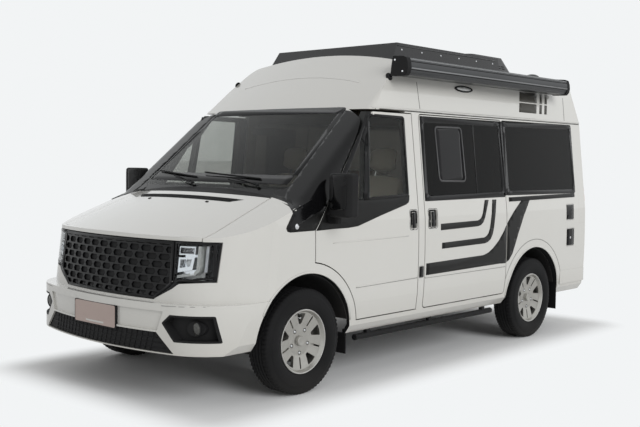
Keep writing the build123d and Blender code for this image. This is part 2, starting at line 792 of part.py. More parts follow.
# ---- running gear ----
WHEELS = (
    ("front_left", 1, 0.0),
    ("front_right", -1, 0.0),
    ("rear_left", 1, WHEELBASE),
    ("rear_right", -1, WHEELBASE),
)
RAIL_X = 450.0
RAIL_Z0 = 400.0
RAIL_Z1 = FLOOR_Z - FLOOR_T - SEAT_GAP
RAIL_FRONT = -760.0
RAIL_REAR = 3780.0
ENGINE_FOOT = 520.0

rails = [brick(s * RAIL_X - 35, s * RAIL_X + 35, RAIL_FRONT, RAIL_REAR, RAIL_Z0, RAIL_Z1) for s in (1, -1)]
crossbars = [brick(-RAIL_X, RAIL_X, y - 40, y + 40, RAIL_Z0 + 20, RAIL_Z1 - 20) for y in (-640, 0, 700, 1700, 2450, 3600)]
engine_mount = brick(-RAIL_X, RAIL_X, -360, -290, RAIL_Z0 + 20, ENGINE_FOOT - SEAT_GAP)
# the panel behind the grille, which the closed bonnet bears on
front_core = join(*nose(PANEL + SEAT_GAP))
radiator_panel = keep(brick(-520, 520, RAIL_FRONT - 26, RAIL_FRONT, RAIL_Z0, 1200), front_core)
SPRING_X = (560.0, 630.0)
SPRING_TOP = TYRE_R - 36.0
SPRING_HALF = 560.0
hangers = [
    brick(inner, SPRING_X[1], WHEELBASE + y0, WHEELBASE + y0 + 50, foot, RAIL_Z1 - 10)
    for y0 in (-SPRING_HALF, SPRING_HALF - 50)
    for inner, foot in ((RAIL_X, RAIL_Z0 + 30), (SPRING_X[0], SPRING_TOP + SEAT_GAP))
]
ARM_TOP = 240.0
arms = [
    join(
        brick(380, KINGPIN_X, -45, 45, ARM_TOP - 40, ARM_TOP),
        brick(400, 470, -45, 45, ARM_TOP - 40, RAIL_Z0 + 20),
        pipe((KINGPIN_X, 0, ARM_TOP - 40), (KINGPIN_X, 0, ARM_TOP), 48),
    )
]
STRUT_FOOT = 500.0
strut = pipe((KINGPIN_X, 0, STRUT_FOOT), (KINGPIN_X, 0, TYRE_R + WELL_R - 1.1), 26)
hanger_set = join(*hangers)
chassis = join(*rails, *crossbars, engine_mount, radiator_panel, arms[0], mirrored(arms[0]), hanger_set, mirrored(hanger_set))
struts = join(strut, mirrored(strut))
HUB_FACE = 20.0          # inner face of the wheel hub, inboard of the wheel's middle
rear_axle = join(
    pipe((-TRACK / 2 + HUB_FACE + SEAT_GAP, WHEELBASE, TYRE_R), (TRACK / 2 - HUB_FACE - SEAT_GAP, WHEELBASE, TYRE_R), 42),
    pipe((-170, WHEELBASE, TYRE_R), (170, WHEELBASE, TYRE_R), 115),
    brick(*SPRING_X, WHEELBASE - SPRING_HALF, WHEELBASE + SPRING_HALF, SPRING_TOP - 26, SPRING_TOP),
    brick(-SPRING_X[1], -SPRING_X[0], WHEELBASE - SPRING_HALF, WHEELBASE + SPRING_HALF, SPRING_TOP - 26, SPRING_TOP),
)
engine = brick(-290, 290, -560, -80, ENGINE_FOOT, 1000, 40)
tank = brick(-440, 440, 1800, 2380, 285, RAIL_Z0 - SEAT_GAP, 60)


def knuckle(s):
    """Steering knuckle: an upright on the kingpin and a stub axle."""
    upright = pipe((s * KINGPIN_X, 0, ARM_TOP + SEAT_GAP), (s * KINGPIN_X, 0, STRUT_FOOT - SEAT_GAP), 28)
    stub = pipe((s * KINGPIN_X, 0, TYRE_R), (s * (TRACK / 2 - HUB_FACE - SEAT_GAP), 0, TYRE_R), 40)
    return join(upright, stub)


def hub_plane(s, y):
    """Plane through the wheel's middle: x is outward from the axle line, y is along the axle, outboard."""
    return Plane(origin=(s * TRACK / 2, FRONT_AXLE_Y + y, TYRE_R), x_dir=(0, 0, 1), z_dir=(0, s, 0))


BEAD = 74.7
FLANGE = 83.0
TREAD_HALF = 72.0


def tyre(s, y):
    plane = hub_plane(s, y)
    half = TYRE_WIDTH / 2
    with BuildPart() as ring:
        with BuildSketch(plane):
            with BuildLine():
                Line((RIM_R - 11, -BEAD), (RIM_R - 11, BEAD))
                Line((RIM_R - 11, BEAD), (RIM_R - 1, BEAD))
                ThreePointArc((RIM_R - 1, BEAD), (RIM_R + 62, half), (TYRE_R - 14, half - 12))
                ThreePointArc((TYRE_R - 14, half - 12), (TYRE_R - 4, half - 17), (TYRE_R, TREAD_HALF))
                Line((TYRE_R, TREAD_HALF), (TYRE_R, 0))
                mirror(about=Plane.XZ)
            make_face()
        revolve(axis=Axis(plane.origin, plane.y_dir))
    return ring.part


SPOKES = 5
LUG_CIRCLE_R = 80.0
LUG_HOLE_R = 8.0
LUG_SEAT_R = 15.0


def rim(s, y):
    plane = hub_plane(s, y)
    disc_plane = Plane(origin=plane.origin + plane.y_dir * 20, x_dir=(0, 1, 0), z_dir=(s, 0, 0))
    with BuildPart() as wheel:
        with BuildSketch(plane):
            with BuildLine():
                Polyline(
                    (RIM_R - 25, -BEAD + SEAT_GAP),
                    (RIM_R - 11 - SEAT_GAP, -BEAD + SEAT_GAP),
                    (RIM_R - 11 - SEAT_GAP, BEAD + SEAT_GAP),
                    (RIM_R - 2, BEAD + SEAT_GAP),
                    (RIM_R - 2, FLANGE),
                    (RIM_R - 12, FLANGE),
                    (RIM_R - 25, 60),
                    close=True,
                )
            make_face()
            with BuildLine():
                Polyline(
                    (0, -HUB_FACE),
                    (HUB_R, -HUB_FACE),
                    (HUB_R, 22),
                    (RIM_R - 22, 40),
                    (RIM_R - 22, 62),
                    (HUB_R, 46),
                    (34, 46),
                    (30, 62),
                    (0, 62),
                    close=True,
                )
            make_face()
        revolve(axis=Axis(plane.origin, plane.y_dir))
        with BuildSketch(disc_plane):
            with PolarLocations(0, SPOKES, start_angle=18):
                Polygon((112, -10), (112, 10), (180, 40), (185, 0), (180, -40), align=None)
            fillet(vertices(), radius=6)
        extrude(amount=100, mode=Mode.SUBTRACT)
        with BuildSketch(disc_plane):
            with PolarLocations(LUG_CIRCLE_R, SPOKES, start_angle=54):
                Circle(LUG_HOLE_R)
        extrude(amount=60, both=True, mode=Mode.SUBTRACT)
        with BuildSketch(disc_plane.offset(14)):
            with PolarLocations(LUG_CIRCLE_R, SPOKES, start_angle=54):
                Circle(LUG_SEAT_R)
            with PolarLocations(148, SPOKES, start_angle=54):
                SlotOverall(78, 12)
        extrude(amount=60, mode=Mode.SUBTRACT)
    return wheel.part


# ---- cab and living space ----
BULKHEAD_Y = 60.0        # cabin side of the bulkhead
DASH_HALF = 880.0
with BuildPart() as dash:
    with BuildSketch(side(-DASH_HALF)):
        with BuildLine():
            Polyline((BULKHEAD_Y + SEAT_GAP, 1090), (BULKHEAD_Y + SEAT_GAP, 1150), (130, 1165))
            Polyline((130, 1165), (140, 1270), (230, 1318))
            ThreePointArc((230, 1318), (470, 1290), (560, 1150))
            Polyline((560, 1150), (520, 900), (300, 900), (BULKHEAD_Y + SEAT_GAP, 1090))
        make_face()
    extrude(amount=2 * DASH_HALF)
WHEEL_CENTRE = (480.0, 690.0, 1150.0)
steer_plane = Plane(
    origin=(WHEEL_CENTRE[0], WHEEL_CENTRE[1] + FRONT_AXLE_Y, WHEEL_CENTRE[2]),
    x_dir=(1, 0, 0),
    z_dir=(0, math.sin(math.radians(62)), math.cos(math.radians(62))),
)
with BuildPart() as steering_wheel:
    with BuildSketch(Plane(origin=steer_plane.origin, x_dir=steer_plane.x_dir, z_dir=steer_plane.y_dir)):
        with Locations((190, 0)):
            Circle(15)
    revolve(axis=Axis(steer_plane.origin, steer_plane.z_dir))
    with BuildSketch(steer_plane):
        Rectangle(370, 40)
        Circle(60)
    extrude(amount=12, both=True)
    with BuildSketch(steer_plane):
        Circle(28)
    extrude(amount=-180)
column = cut(steering_wheel.part, dash.part)


def seat(x):
    """A cab seat on its box: cushion, raked back and headrest."""
    with BuildPart() as chair:
        with BuildSketch(side(x - 250)):
            with BuildLine():
                Polyline((760, 800), (1240, 790), (1420, 1420), (1320, 1450), (1180, 960), (770, 930), close=True)
            make_face()
            fillet(vertices(), radius=30)
        extrude(amount=500)
        with BuildSketch(side(x - 130)):
            with BuildLine():
                Polyline((1345, 1450), (1410, 1430), (1460, 1640), (1380, 1660), close=True)
            make_face()
            fillet(vertices(), radius=20)
        extrude(amount=260)
    posts = [pipe((x + d, 1370, 1415), (x + d, 1392, 1475), 7) for d in (60, -60)]
    return join(chair.part, *posts)


seat_box = join(*(brick(x - 210, x + 210, 830, 1230, FLOOR_Z, 790) for x in (480, -480)))
seats = join(seat(480), seat(-480))
cabinet = keep(brick(-1000, -470, 1800, 2440, FLOOR_Z, 1440), living_inner)
BED_Z = 900.0
BED_FRONT = 2470.0
bed = join(
    brick(-1000, 1000, BED_FRONT, 3900, BED_Z, BED_Z + 130),
    brick(-850, 850, BED_FRONT, BED_FRONT + 30, FLOOR_Z, BED_Z),
)
bed = keep(bed, living_inner)

# ---- outside fittings ----
AWNING_FRONT = 1045.0
AWNING_REAR = 3445.0
with BuildPart() as awning_bar:
    with BuildSketch(face(AWNING_REAR)):
        with BuildLine():
            Polyline((845, 2165), (965, 2165))
            ThreePointArc((965, 2165), (992, 2215), (978, 2285))
            Polyline((978, 2285), (860, 2300), (845, 2165))
        make_face()
    extrude(amount=AWNING_REAR - AWNING_FRONT)
brackets = [cut(brick(700, 850, y - 30, y + 30, 2180, 2260), cab_outer) for y in (1300, 2240, 3180)]
awning_part = join(awning_bar.part, *brackets)
with BuildPart() as ac:
    with BuildSketch(level(ROOF_TOP + 1)):
        with Locations((0, 3220)):
            Rectangle(700, 760)
        fillet(vertices(), radius=90)
    with BuildSketch(level(ROOF_TOP + 171)):
        with Locations((0, 3240)):
            Rectangle(520, 600)
        fillet(vertices(), radius=80)
    loft()
with BuildPart() as ac_foot_bar:
    with BuildSketch(level(2300)):
        with Locations((0, 3220)):
            Rectangle(560, 620)
    extrude(amount=ROOF_TOP + 1 - 2300)
air_unit = join(ac.part, cut(ac_foot_bar.part, cab_outer))
SKIRT_TOP = 2452.0
with BuildPart() as skirt_bar:
    with BuildSketch(level(2300)):
        with Locations((0, 2060)):
            Rectangle(1330, 1600)
    with BuildSketch(level(SKIRT_TOP)):
        with Locations((0, 2090)):
            Rectangle(1270, 1480)
    loft()
    with BuildSketch(level(2300)):
        with Locations((0, 2090)):
            Rectangle(1200, 1420)
    extrude(amount=300, mode=Mode.SUBTRACT)
    with Locations((0, FRONT_AXLE_Y + 2840, 2400)):
        Box(1400, 60, 300, mode=Mode.SUBTRACT)
roof_skirt = cut(skirt_bar.part, cab_outer)
STEP_X = 955.0
step = join(
    pipe((STEP_X - 40, 560, 300), (STEP_X - 40, 2330, 300), 22),
    *(brick(900, 930, y - 20, y + 20, 300, SILL_BOTTOM - SEAT_GAP) for y in (700, 1450, 2200)),
)
FLAP_T = 8.0
flaps = join(
    brick(748, 925, ARCH_R + 2, ARCH_R + 2 + FLAP_T, 200, SILL_BOTTOM - SEAT_GAP),
    brick(748, 925, WHEELBASE + ARCH_R + 2, WHEELBASE + ARCH_R + 2 + FLAP_T, 240, SILL_BOTTOM - SEAT_GAP),
)
with BuildPart() as mirror_head:
    with BuildSketch(level(1165)):
        with Locations((1105, 205)):
            Rectangle(190, 120)
        fillet(vertices(), radius=40)
    extrude(amount=290)
    fillet(edges().group_by(Axis.Z)[-1] + edges().group_by(Axis.Z)[0], radius=20)
mirror_arm = cut(brick(960, 1060, 190, 250, 1120, 1180, 15), cab_outer)
mirror_left = cut(join(mirror_head.part, mirror_arm), cab_outer)

for name, part in (
    ("bonnet", bonnet),
    ("fender_left", fender_left),
    ("fender_right", mirrored(fender_left)),
    ("cowl_panel", cowl_panel),
    ("bumper_front", bumper),
    ("grille_panel", grille_panel),
    ("headlamps", join(headlamp_left, mirrored(headlamp_left))),
    ("headlamp_lenses", join(lens_left, mirrored(lens_left))),
    ("bonnet_inlet", bonnet_inlet),
    ("bumper_inserts", inserts),
    ("windscreen", windscreen),
    ("roof", roof),
    ("wall_left", wall_left),
    ("wall_right", wall_right),
    ("door_front_left", door_left),
    ("door_front_right", mirrored(door_left)),
    ("door_glass_left", door_glass),
    ("door_glass_right", mirrored(door_glass)),
    ("mirror_left", mirror_left),
    ("mirror_right", mirrored(mirror_left)),
    ("slide_door", slide_door),
    ("slide_glass", slide_glass),
    ("side_glass", fixed_glass),
    ("rear_door_left", rear_door),
    ("rear_door_right", rear_door_right),
    ("rear_glass_left", rear_glass),
    ("rear_glass_right", mirrored(rear_glass)),
    ("spare_wheel", spare.part),
    ("rear_bumper", rear_bumper),
    ("tail_lamps", join(tail_lamp, mirrored(tail_lamp))),
    ("floor_pan", floor_pan),
    ("wheel_housings", wells),
    ("chassis", chassis),
    ("struts", struts),
    ("rear_axle", rear_axle),
    ("engine", engine),
    ("fuel_tank", tank),
    ("knuckle_left", knuckle(1)),
    ("knuckle_right", knuckle(-1)),
    ("dashboard", dash.part),
    ("steering_wheel", column),
    ("seat_boxes", seat_box),
    ("seats_front", seats),
    ("cabinet", cabinet),
    ("bed", bed),
    ("awning", awning_part),
    ("air_unit", air_unit),
    ("roof_skirt", roof_skirt),
    ("side_step", step),
    ("service_covers", covers),
    ("mudflaps", join(flaps, mirrored(flaps))),
    *((f"tyre_{n}", tyre(s, y)) for n, s, y in WHEELS),
    *((f"rim_{n}", rim(s, y)) for n, s, y in WHEELS),
):
    part.label = name
    export_step(part, "parts/" + name + ".step")
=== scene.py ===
import math

import bmesh
import bpy
from mathutils import Matrix, Vector
from mathutils.bvhtree import BVHTree


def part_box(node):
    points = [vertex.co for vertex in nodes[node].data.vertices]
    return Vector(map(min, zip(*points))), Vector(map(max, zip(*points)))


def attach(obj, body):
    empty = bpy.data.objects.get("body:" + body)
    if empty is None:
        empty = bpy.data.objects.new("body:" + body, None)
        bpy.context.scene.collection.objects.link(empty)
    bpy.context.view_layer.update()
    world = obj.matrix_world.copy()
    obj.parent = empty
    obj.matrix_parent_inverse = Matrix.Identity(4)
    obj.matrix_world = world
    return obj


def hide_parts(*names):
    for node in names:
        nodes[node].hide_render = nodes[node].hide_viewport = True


AXLE_Y = -1.57                   # the front axle in the part's frame; other lengths run aft of it
WHEELBASE = 2.933
TRACK = 1.74
TYRE_R = 0.35
RIM_R = 0.215
BACKGROUND = (0.888, 0.905, 0.913, 1)
FLOOR_TONE = (0.955, 0.97, 0.98)
FLOOR_REACH = 400.0
SHADE_BOX = (0.95, 2.35, 0)      # half sizes; the floor's shade is whole inside, and gone SHADE_FAR beyond it
SHADE_NEAR = 0.02
SHADE_FAR = 0.44
WORLD_LIGHT = 0.46
SUN_LIGHT = 1.5
SUN_WIDTH = 35
SUN_FROM = (0.95, -0.16, 0.46)
SHARP_ANGLE = math.radians(35)
DOUBLES = 1e-6                   # corners nearer than this are one
GRAZING = -0.03                  # a face turned further from the view than this carries nothing
SHARE_OF_SIDE = 0.48             # a rounded corner takes no more of a side than this
BEAD_SIDES = 10
SIDES = (("left", 1), ("right", -1))

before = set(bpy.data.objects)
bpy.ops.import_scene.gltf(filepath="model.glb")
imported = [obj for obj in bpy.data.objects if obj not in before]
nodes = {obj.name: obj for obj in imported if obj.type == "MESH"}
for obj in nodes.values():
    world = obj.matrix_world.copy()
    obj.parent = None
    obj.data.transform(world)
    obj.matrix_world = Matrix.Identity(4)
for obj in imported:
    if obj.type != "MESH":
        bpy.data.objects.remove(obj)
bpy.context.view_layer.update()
scene = bpy.context.scene


# ---- materials ----


def wire(tree, shader, sockets):
    """Set each named socket of a shader node, or link it to another node's socket."""
    for key, value in sockets.items():
        if isinstance(value, bpy.types.NodeSocket):
            tree.links.new(value, shader.inputs[key])
        else:
            shader.inputs[key].default_value = value


def add(tree, kind, sockets=None, **settings):
    made = tree.nodes.new("ShaderNode" + kind)
    for key, value in settings.items():
        setattr(made, key, value)
    wire(tree, made, sockets or {})
    return made


def rough_up(tree, shader, height, strength, distance):
    bump = add(tree, "Bump", {"Strength": strength, "Distance": distance, "Height": height})
    wire(tree, shader, {"Normal": bump.outputs["Normal"]})


def surface(name, colour, rough=0.5, metallic=0.0, coat=0.0, spread=0.05, scale=4.0, grain=0.0, grit=300.0,
            smear=0.06, shine=0.5, **sockets):
    """A finish whose tone and gloss wander a little, with a fine grain where the real one has it."""
    if isinstance(colour, float):
        colour = (colour,) * 3
    material = bpy.data.materials.new(name)
    material.use_nodes = True
    tree = material.node_tree
    shader = tree.nodes["Principled BSDF"]
    place = add(tree, "TexCoord").outputs["Object"]
    wander = add(tree, "TexNoise", {"Scale": scale, "Detail": 5.0, "Vector": place}).outputs["Fac"]
    tone = add(tree, "ValToRGB", {"Fac": wander})
    for stop, position, share in zip(tone.color_ramp.elements, (0.3, 0.7), (1 - spread, 1 + spread)):
        stop.position = position
        stop.color = (*(min(1.0, c * share) for c in colour), 1)
    gloss = add(tree, "MapRange", {"To Min": max(0.0, rough - smear), "To Max": min(1.0, rough + smear),
                                   "Value": wander})
    wire(tree, shader, {"Base Color": tone.outputs["Color"], "Roughness": gloss.outputs["Result"],
                        "Metallic": metallic, "Coat Weight": coat, "Specular IOR Level": shine})
    wire(tree, shader, {key.replace("_", " "): value for key, value in sockets.items()})
    if grain > 0:
        fine = add(tree, "TexNoise", {"Scale": grit, "Detail": 3.0, "Vector": place})
        rough_up(tree, shader, fine.outputs["Fac"], grain, 0.001)
    return material


def weave(name, colour, second):
    """A woven cloth: two crossed sets of threads in slightly different tones."""
    material = surface(name, colour, rough=0.85, spread=0.08, scale=9.0)
    tree = material.node_tree
    shader = tree.nodes["Principled BSDF"]
    checks = add(tree, "TexChecker", {"Scale": 160.0, "Color1": (*colour, 1), "Color2": (*second, 1),
                                      "Vector": add(tree, "TexCoord").outputs["Object"]})
    wire(tree, shader, {"Base Color": checks.outputs["Color"], "Sheen Weight": 0.3})
    rough_up(tree, shader, checks.outputs["Fac"], 0.35, 0.002)
    return material


def road_film(material, colour, low, high):
    """Dust that thins out with height, laid over the finish's own tone."""
    tree = material.node_tree
    shader = tree.nodes["Principled BSDF"]
    split = add(tree, "SeparateXYZ", {"Vector": add(tree, "TexCoord").outputs["Object"]})
    height = add(tree, "MapRange", {"From Min": low, "From Max": high, "To Min": 0.45, "To Max": 0.0,
                                    "Value": split.outputs["Z"]})
    mix = add(tree, "MixRGB", {"Color1": shader.inputs["Base Color"].links[0].from_socket,
                               "Color2": (*colour, 1), "Fac": height.outputs["Result"]})
    wire(tree, shader, {"Base Color": mix.outputs["Color"]})
    return material


GLASS = dict(Transmission_Weight=1.0, IOR=1.2)
paint = road_film(surface("van_paint", (0.625, 0.62, 0.59), rough=0.24, coat=1.0, spread=0.012, scale=1.5,
                          smear=0.03, grain=0.02, grit=900, Coat_Roughness=0.04),
                  (0.42, 0.4, 0.36), 0.3, 0.62)
gloss_black = surface("gloss_black", (0.004, 0.004, 0.0045), rough=0.14, spread=0.2, smear=0.04, shine=0.25)
satin_black = surface("satin_black", 0.008, rough=0.38, spread=0.2, grain=0.08, grit=600, shine=0.22)
satin_grey = surface("satin_grey", (0.05, 0.05, 0.052), rough=0.35, spread=0.1, grain=0.05, grit=600)
smoked = surface("smoked_pane", (0.012, 0.012, 0.013), rough=0.1, spread=0.15, smear=0.03, shine=0.2)
smoked_lens = surface("smoked_lens", (0.1, 0.1, 0.095), rough=0.12, metallic=0.6, spread=0.3, scale=60)
# dark line for real joints, vents and slots; also laid as painted shadow under the drip rail and as painted
# shade in the awning's grooves
joint_and_shade_line = surface("shut_and_shade_line", 0.01, rough=0.8, spread=0.2, shine=0.1)
# fold_shade: a grey line of painted shade, laid where a fold or crease of the panels falls into shade
fold_shade = surface("fold_shade_line", (0.2, 0.2, 0.19), rough=0.6, spread=0.1)
light_guide = surface("light_guide", (0.42, 0.42, 0.4), rough=0.25, coat=0.6, scale=20)
dull_chrome = surface("dull_chrome", (0.42, 0.42, 0.43), rough=0.25, metallic=1.0, spread=0.08, scale=20)
lens_clear = surface("bulb_lens", (0.85, 0.86, 0.85), rough=0.03, spread=0.03, smear=0.02, IOR=1.45,
                     Transmission_Weight=0.6)
lens_milky = surface("milky_lens", (0.62, 0.63, 0.62), rough=0.18, coat=0.8, scale=30)
mirror_glass = surface("mirror_glass", (0.75, 0.77, 0.78), rough=0.02, metallic=1.0, spread=0.02, smear=0.01)
disc_steel = surface("brake_steel", (0.24, 0.235, 0.23), rough=0.38, metallic=0.9, spread=0.15, scale=30,
                     grain=0.2, grit=150)
# awning_highlight: a lighter grey than the cassette, laid on its ridges and top as painted highlight
awning_highlight = surface("awning_lip_highlight", (0.27, 0.275, 0.28), rough=0.3, metallic=0.8, scale=2.0, grain=0.1,
                       grit=420)
vinyl_gloss = surface("cover_panel", (0.016, 0.016, 0.017), rough=0.3, coat=0.3, spread=0.2, grain=0.3,
                      grit=200)
board_light = surface("cabinet_board_pale", (0.44, 0.4, 0.34), rough=0.4, spread=0.08, scale=18, grain=0.08)
cabin_mid = surface("cabin_plastic_mid", (0.06, 0.058, 0.056), rough=0.6, spread=0.12, grain=0.5, grit=330)
alloy_bright = surface("rim_lip", (0.7, 0.69, 0.67), rough=0.22, metallic=0.9, coat=0.4, spread=0.04,
                       scale=12)
moulded = surface("moulded_black", (0.012, 0.012, 0.0125), rough=0.62, spread=0.18, grain=0.35, grit=500,
                  shine=0.2)
underbody = road_film(surface("underbody", 0.016, rough=0.75, spread=0.3, grain=0.5, grit=120, shine=0.2),
                      (0.07, 0.062, 0.055), 0.1, 0.7)
cast = surface("engine_cast", 0.22, metallic=0.8, spread=0.2, grain=0.6, grit=90)
rubber = road_film(surface("tyre_rubber_worn", (0.009, 0.009, 0.0095), rough=0.7, spread=0.25, grain=0.3,
                           grit=260, shine=0.2), (0.028, 0.026, 0.024), 0.0, 0.2)
alloy = surface("wheel_silver", (0.46, 0.45, 0.42), rough=0.3, metallic=0.85, coat=0.4, scale=12, grain=0.06,
                grit=700)
chrome = surface("lamp_chrome", (0.82, 0.83, 0.85), rough=0.07, metallic=1.0, spread=0.03, smear=0.04)
dark_glass = surface("tinted_glass", (0.03, 0.028, 0.024), rough=0.03, spread=0.1, smear=0.02, **GLASS)
cab_glass = surface("cab_glass", (0.82, 0.84, 0.81), rough=0.02, smear=0.01, **GLASS)
clear_glass = surface("screen_glass", (0.34, 0.35, 0.335), rough=0.02, spread=0.03, smear=0.01, **GLASS)
lamp_cover = surface("lamp_cover", (0.9, 0.92, 0.93), rough=0.02, spread=0.02, smear=0.01, **GLASS)
red_lens = surface("red_lens", (0.45, 0.012, 0.012), rough=0.1, coat=1.0, spread=0.15, scale=40)
amber_lens = surface("amber_lens", (0.75, 0.22, 0.02), rough=0.12, coat=1.0, spread=0.1, scale=40)
anodised = surface("awning_grey", (0.075, 0.077, 0.08), rough=0.34, metallic=0.75, spread=0.07, scale=2.0,
                   grain=0.12, grit=420)
unit_black = surface("roof_unit", (0.016, 0.016, 0.017), rough=0.25, coat=0.25, spread=0.15, grain=0.08,
                     shine=0.25)
vinyl = surface("cover_vinyl_black", (0.014, 0.014, 0.0145), rough=0.42, spread=0.2, grain=0.5, grit=160,
                shine=0.3)
decal = surface("decal_charcoal", (0.006, 0.006, 0.0055), rough=0.33, spread=0.1, scale=3, shine=0.25)
decal_brown = surface("decal_brown", (0.055, 0.052, 0.045), rough=0.35, spread=0.08, scale=3, shine=0.25)
plate_blank = surface("plate_blank", (0.44, 0.345, 0.31), rough=0.4, coat=0.3, spread=0.03, scale=8)
cabin_dark = surface("cabin_plastic_dark", (0.018, 0.0175, 0.0175), rough=0.6, spread=0.15, grain=0.5,
                     grit=330, shine=0.25)
cabin_light = surface("cabin_lining", (0.33, 0.3, 0.26), rough=0.8, spread=0.06, grain=0.04, grit=60)
floor_vinyl = surface("floor_boards", (0.12, 0.085, 0.06), spread=0.2, scale=14)
board = surface("cabinet_board_oak", (0.3, 0.21, 0.13), rough=0.45, spread=0.16, scale=22, grain=0.12)
cloth = weave("seat_cloth_beige", (0.5, 0.445, 0.37), (0.41, 0.36, 0.3))
cloth_grey = weave("seat_side_grey", (0.075, 0.073, 0.07), (0.055, 0.053, 0.05))

for finish, names in (
    (paint, "bonnet fender_left fender_right bumper_front roof wall_left wall_right service_covers "
            "rear_bumper door_front_left door_front_right slide_door rear_door_left rear_door_right"),
    (moulded, "cowl_panel bumper_inserts mirror_left mirror_right side_step bonnet_inlet mudflaps"),
    (gloss_black, "grille_panel headlamps"),
    (underbody, "chassis struts rear_axle knuckle_left knuckle_right wheel_housings fuel_tank seat_boxes"),
    (cast, "engine"),
    (floor_vinyl, "floor_pan"),
    (board, "cabinet"),
    (cloth, "bed seats_front"),
    (cabin_dark, "dashboard steering_wheel"),
    (clear_glass, "windscreen"),
    (lamp_cover, "headlamp_lenses"),
    (cab_glass, "door_glass_left door_glass_right"),
    (dark_glass, "slide_glass side_glass rear_glass_left rear_glass_right"),
    (red_lens, "tail_lamps"),
    (vinyl, "spare_wheel"),
    (anodised, "awning"),
    (unit_black, "air_unit roof_skirt"),
    (alloy, " ".join(n for n in nodes if n.startswith("rim_"))),
    (rubber, " ".join(n for n in nodes if n.startswith("tyre_"))),
):
    for name in names.split():
        mesh = nodes[name].data
        mesh.materials.clear()
        mesh.materials.append(finish)


# ---- helpers that make pieces ----


def at(x, y, z):
    """A point given across, aft of the front axle and up, in metres."""
    return Vector((x, AXLE_Y + y, z))


def settled(name, verts, faces):
    """A mesh of these corners and faces, with double corners joined and every face turned outwards."""
    mesh = bpy.data.meshes.new(name)
    mesh.from_pydata(verts, [], faces)
    bm = bmesh.new()
    bm.from_mesh(mesh)
    bmesh.ops.remove_doubles(bm, verts=bm.verts[:], dist=DOUBLES)
    bmesh.ops.recalc_face_normals(bm, faces=bm.faces[:])
    bm.to_mesh(mesh)
    bm.free()
    return mesh


def finish_piece(name, mesh, material, body, smooth=True):
    piece = bpy.data.objects.new(name, mesh)
    scene.collection.objects.link(piece)
    mesh.materials.append(material)
    for polygon in mesh.polygons:
        polygon.use_smooth = smooth
    if smooth:
        mesh.set_sharp_from_angle(angle=SHARP_ANGLE)
    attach(piece, body)
    return piece


def mesh_piece(name, verts, faces, material, body="body", smooth=True, bevel=0.0):
    """A piece from plain lists of corners and faces, with its edges eased by the bevel."""
    piece = finish_piece(name, settled(name, verts, faces), material, body, smooth)
    if bevel > 0:
        ease = piece.modifiers.new("eased", "BEVEL")
        ease.width = bevel
        ease.segments = 2
        ease.limit_method = "ANGLE"
    return piece


def grid(rows, n, round_rows=False, round_row=True):
    """The faces between rows of n corners each; either direction may close on itself."""
    return [(i * n + k, i * n + (k + 1) % n, (i + 1) % rows * n + (k + 1) % n, (i + 1) % rows * n + k)
            for i in range(rows if round_rows else rows - 1) for k in range(n if round_row else n - 1)]


def closed(rows, n):
    """The faces between the rows, with the first and the last row filled."""
    return grid(rows, n) + [list(range(n))[::-1], [(rows - 1) * n + k for k in range(n)]]


FACING = {"front": lambda a, b, d: at(a, d, b), "side": lambda a, b, d: at(d, a, b), "top": at}


def prism(name, outline, facing, low, high, material, body="body", slot="black_trim", bevel=0.0):
    """A flat outline, drawn as seen from the front, side or top, pushed from low to high."""
    verts = [FACING[facing](a, b, d) for d in (low, high) for a, b in outline]
    return mesh_piece(name, verts, closed(2, len(outline)), material, body, bevel=bevel)


skins = {}


def skin(names):
    """A search tree over CAD nodes, for laying pieces on them."""
    if names not in skins:
        corners, faces = [], []
        for name in names.split():
            mesh = nodes[name].data
            start = len(corners)
            corners += [v.co.copy() for v in mesh.vertices]
            faces += [[start + i for i in p.vertices] for p in mesh.polygons]
        skins[names] = BVHTree.FromPolygons(corners, faces)
    return skins[names]


class View:
    """A direction of looking, with the two lengths that a flat outline is drawn in."""

    def __init__(self, direction, across, up, start):
        self.direction, self.across, self.up, self.start = map(Vector, (direction, across, up, start))

    def place(self, a, b):
        return self.start + self.across * a + self.up * b

    def flat(self, point):
        away = point - self.start
        return away.dot(self.across), away.dot(self.up)


HALF = math.sqrt(0.5)
LEFTWARD, AFT, UP = (1, 0, 0), (0, 1, 0), (0, 0, 1)
VIEWS = {
    "left": View((-1, 0, 0), AFT, UP, at(1.6, 0, 0)),
    "right": View(LEFTWARD, AFT, UP, at(-1.6, 0, 0)),
    "front": View(AFT, LEFTWARD, UP, at(0, -1.3, 0)),
    "rear": View((0, -1, 0), LEFTWARD, UP, at(0, 4.6, 0)),
    "top": View((0, 0, -1), LEFTWARD, AFT, at(0, 0, 3.0)),
    "in_left": View(LEFTWARD, AFT, UP, at(0.3, 0, 0)),
    "in_right": View((-1, 0, 0), AFT, UP, at(-0.3, 0, 0)),
    "in_rear": View(AFT, LEFTWARD, UP, at(0, 3.0, 0)),
    "corner_left": View((-HALF, HALF, 0), (HALF, HALF, 0), UP, at(1.5, -1.5, 0)),
    "corner_right": View((HALF, HALF, 0), (-HALF, HALF, 0), UP, at(-1.5, -1.5, 0)),
}


def surface_point(view, targets, a, b):
    """Where the surface lies behind the outline's point."""
    look = VIEWS[view]
    return skin(targets).ray_cast(look.place(a, b), look.direction)[0]


NUDGES = (0.001, 0.002, 0.003, 0.005, 0.008, 0.012)
TURNS = tuple(math.radians(a) for a in range(0, 360, 45))
ASIDE = [(0.0, 0.0)] + [(r * math.cos(t), r * math.sin(t)) for r in NUDGES for t in TURNS]


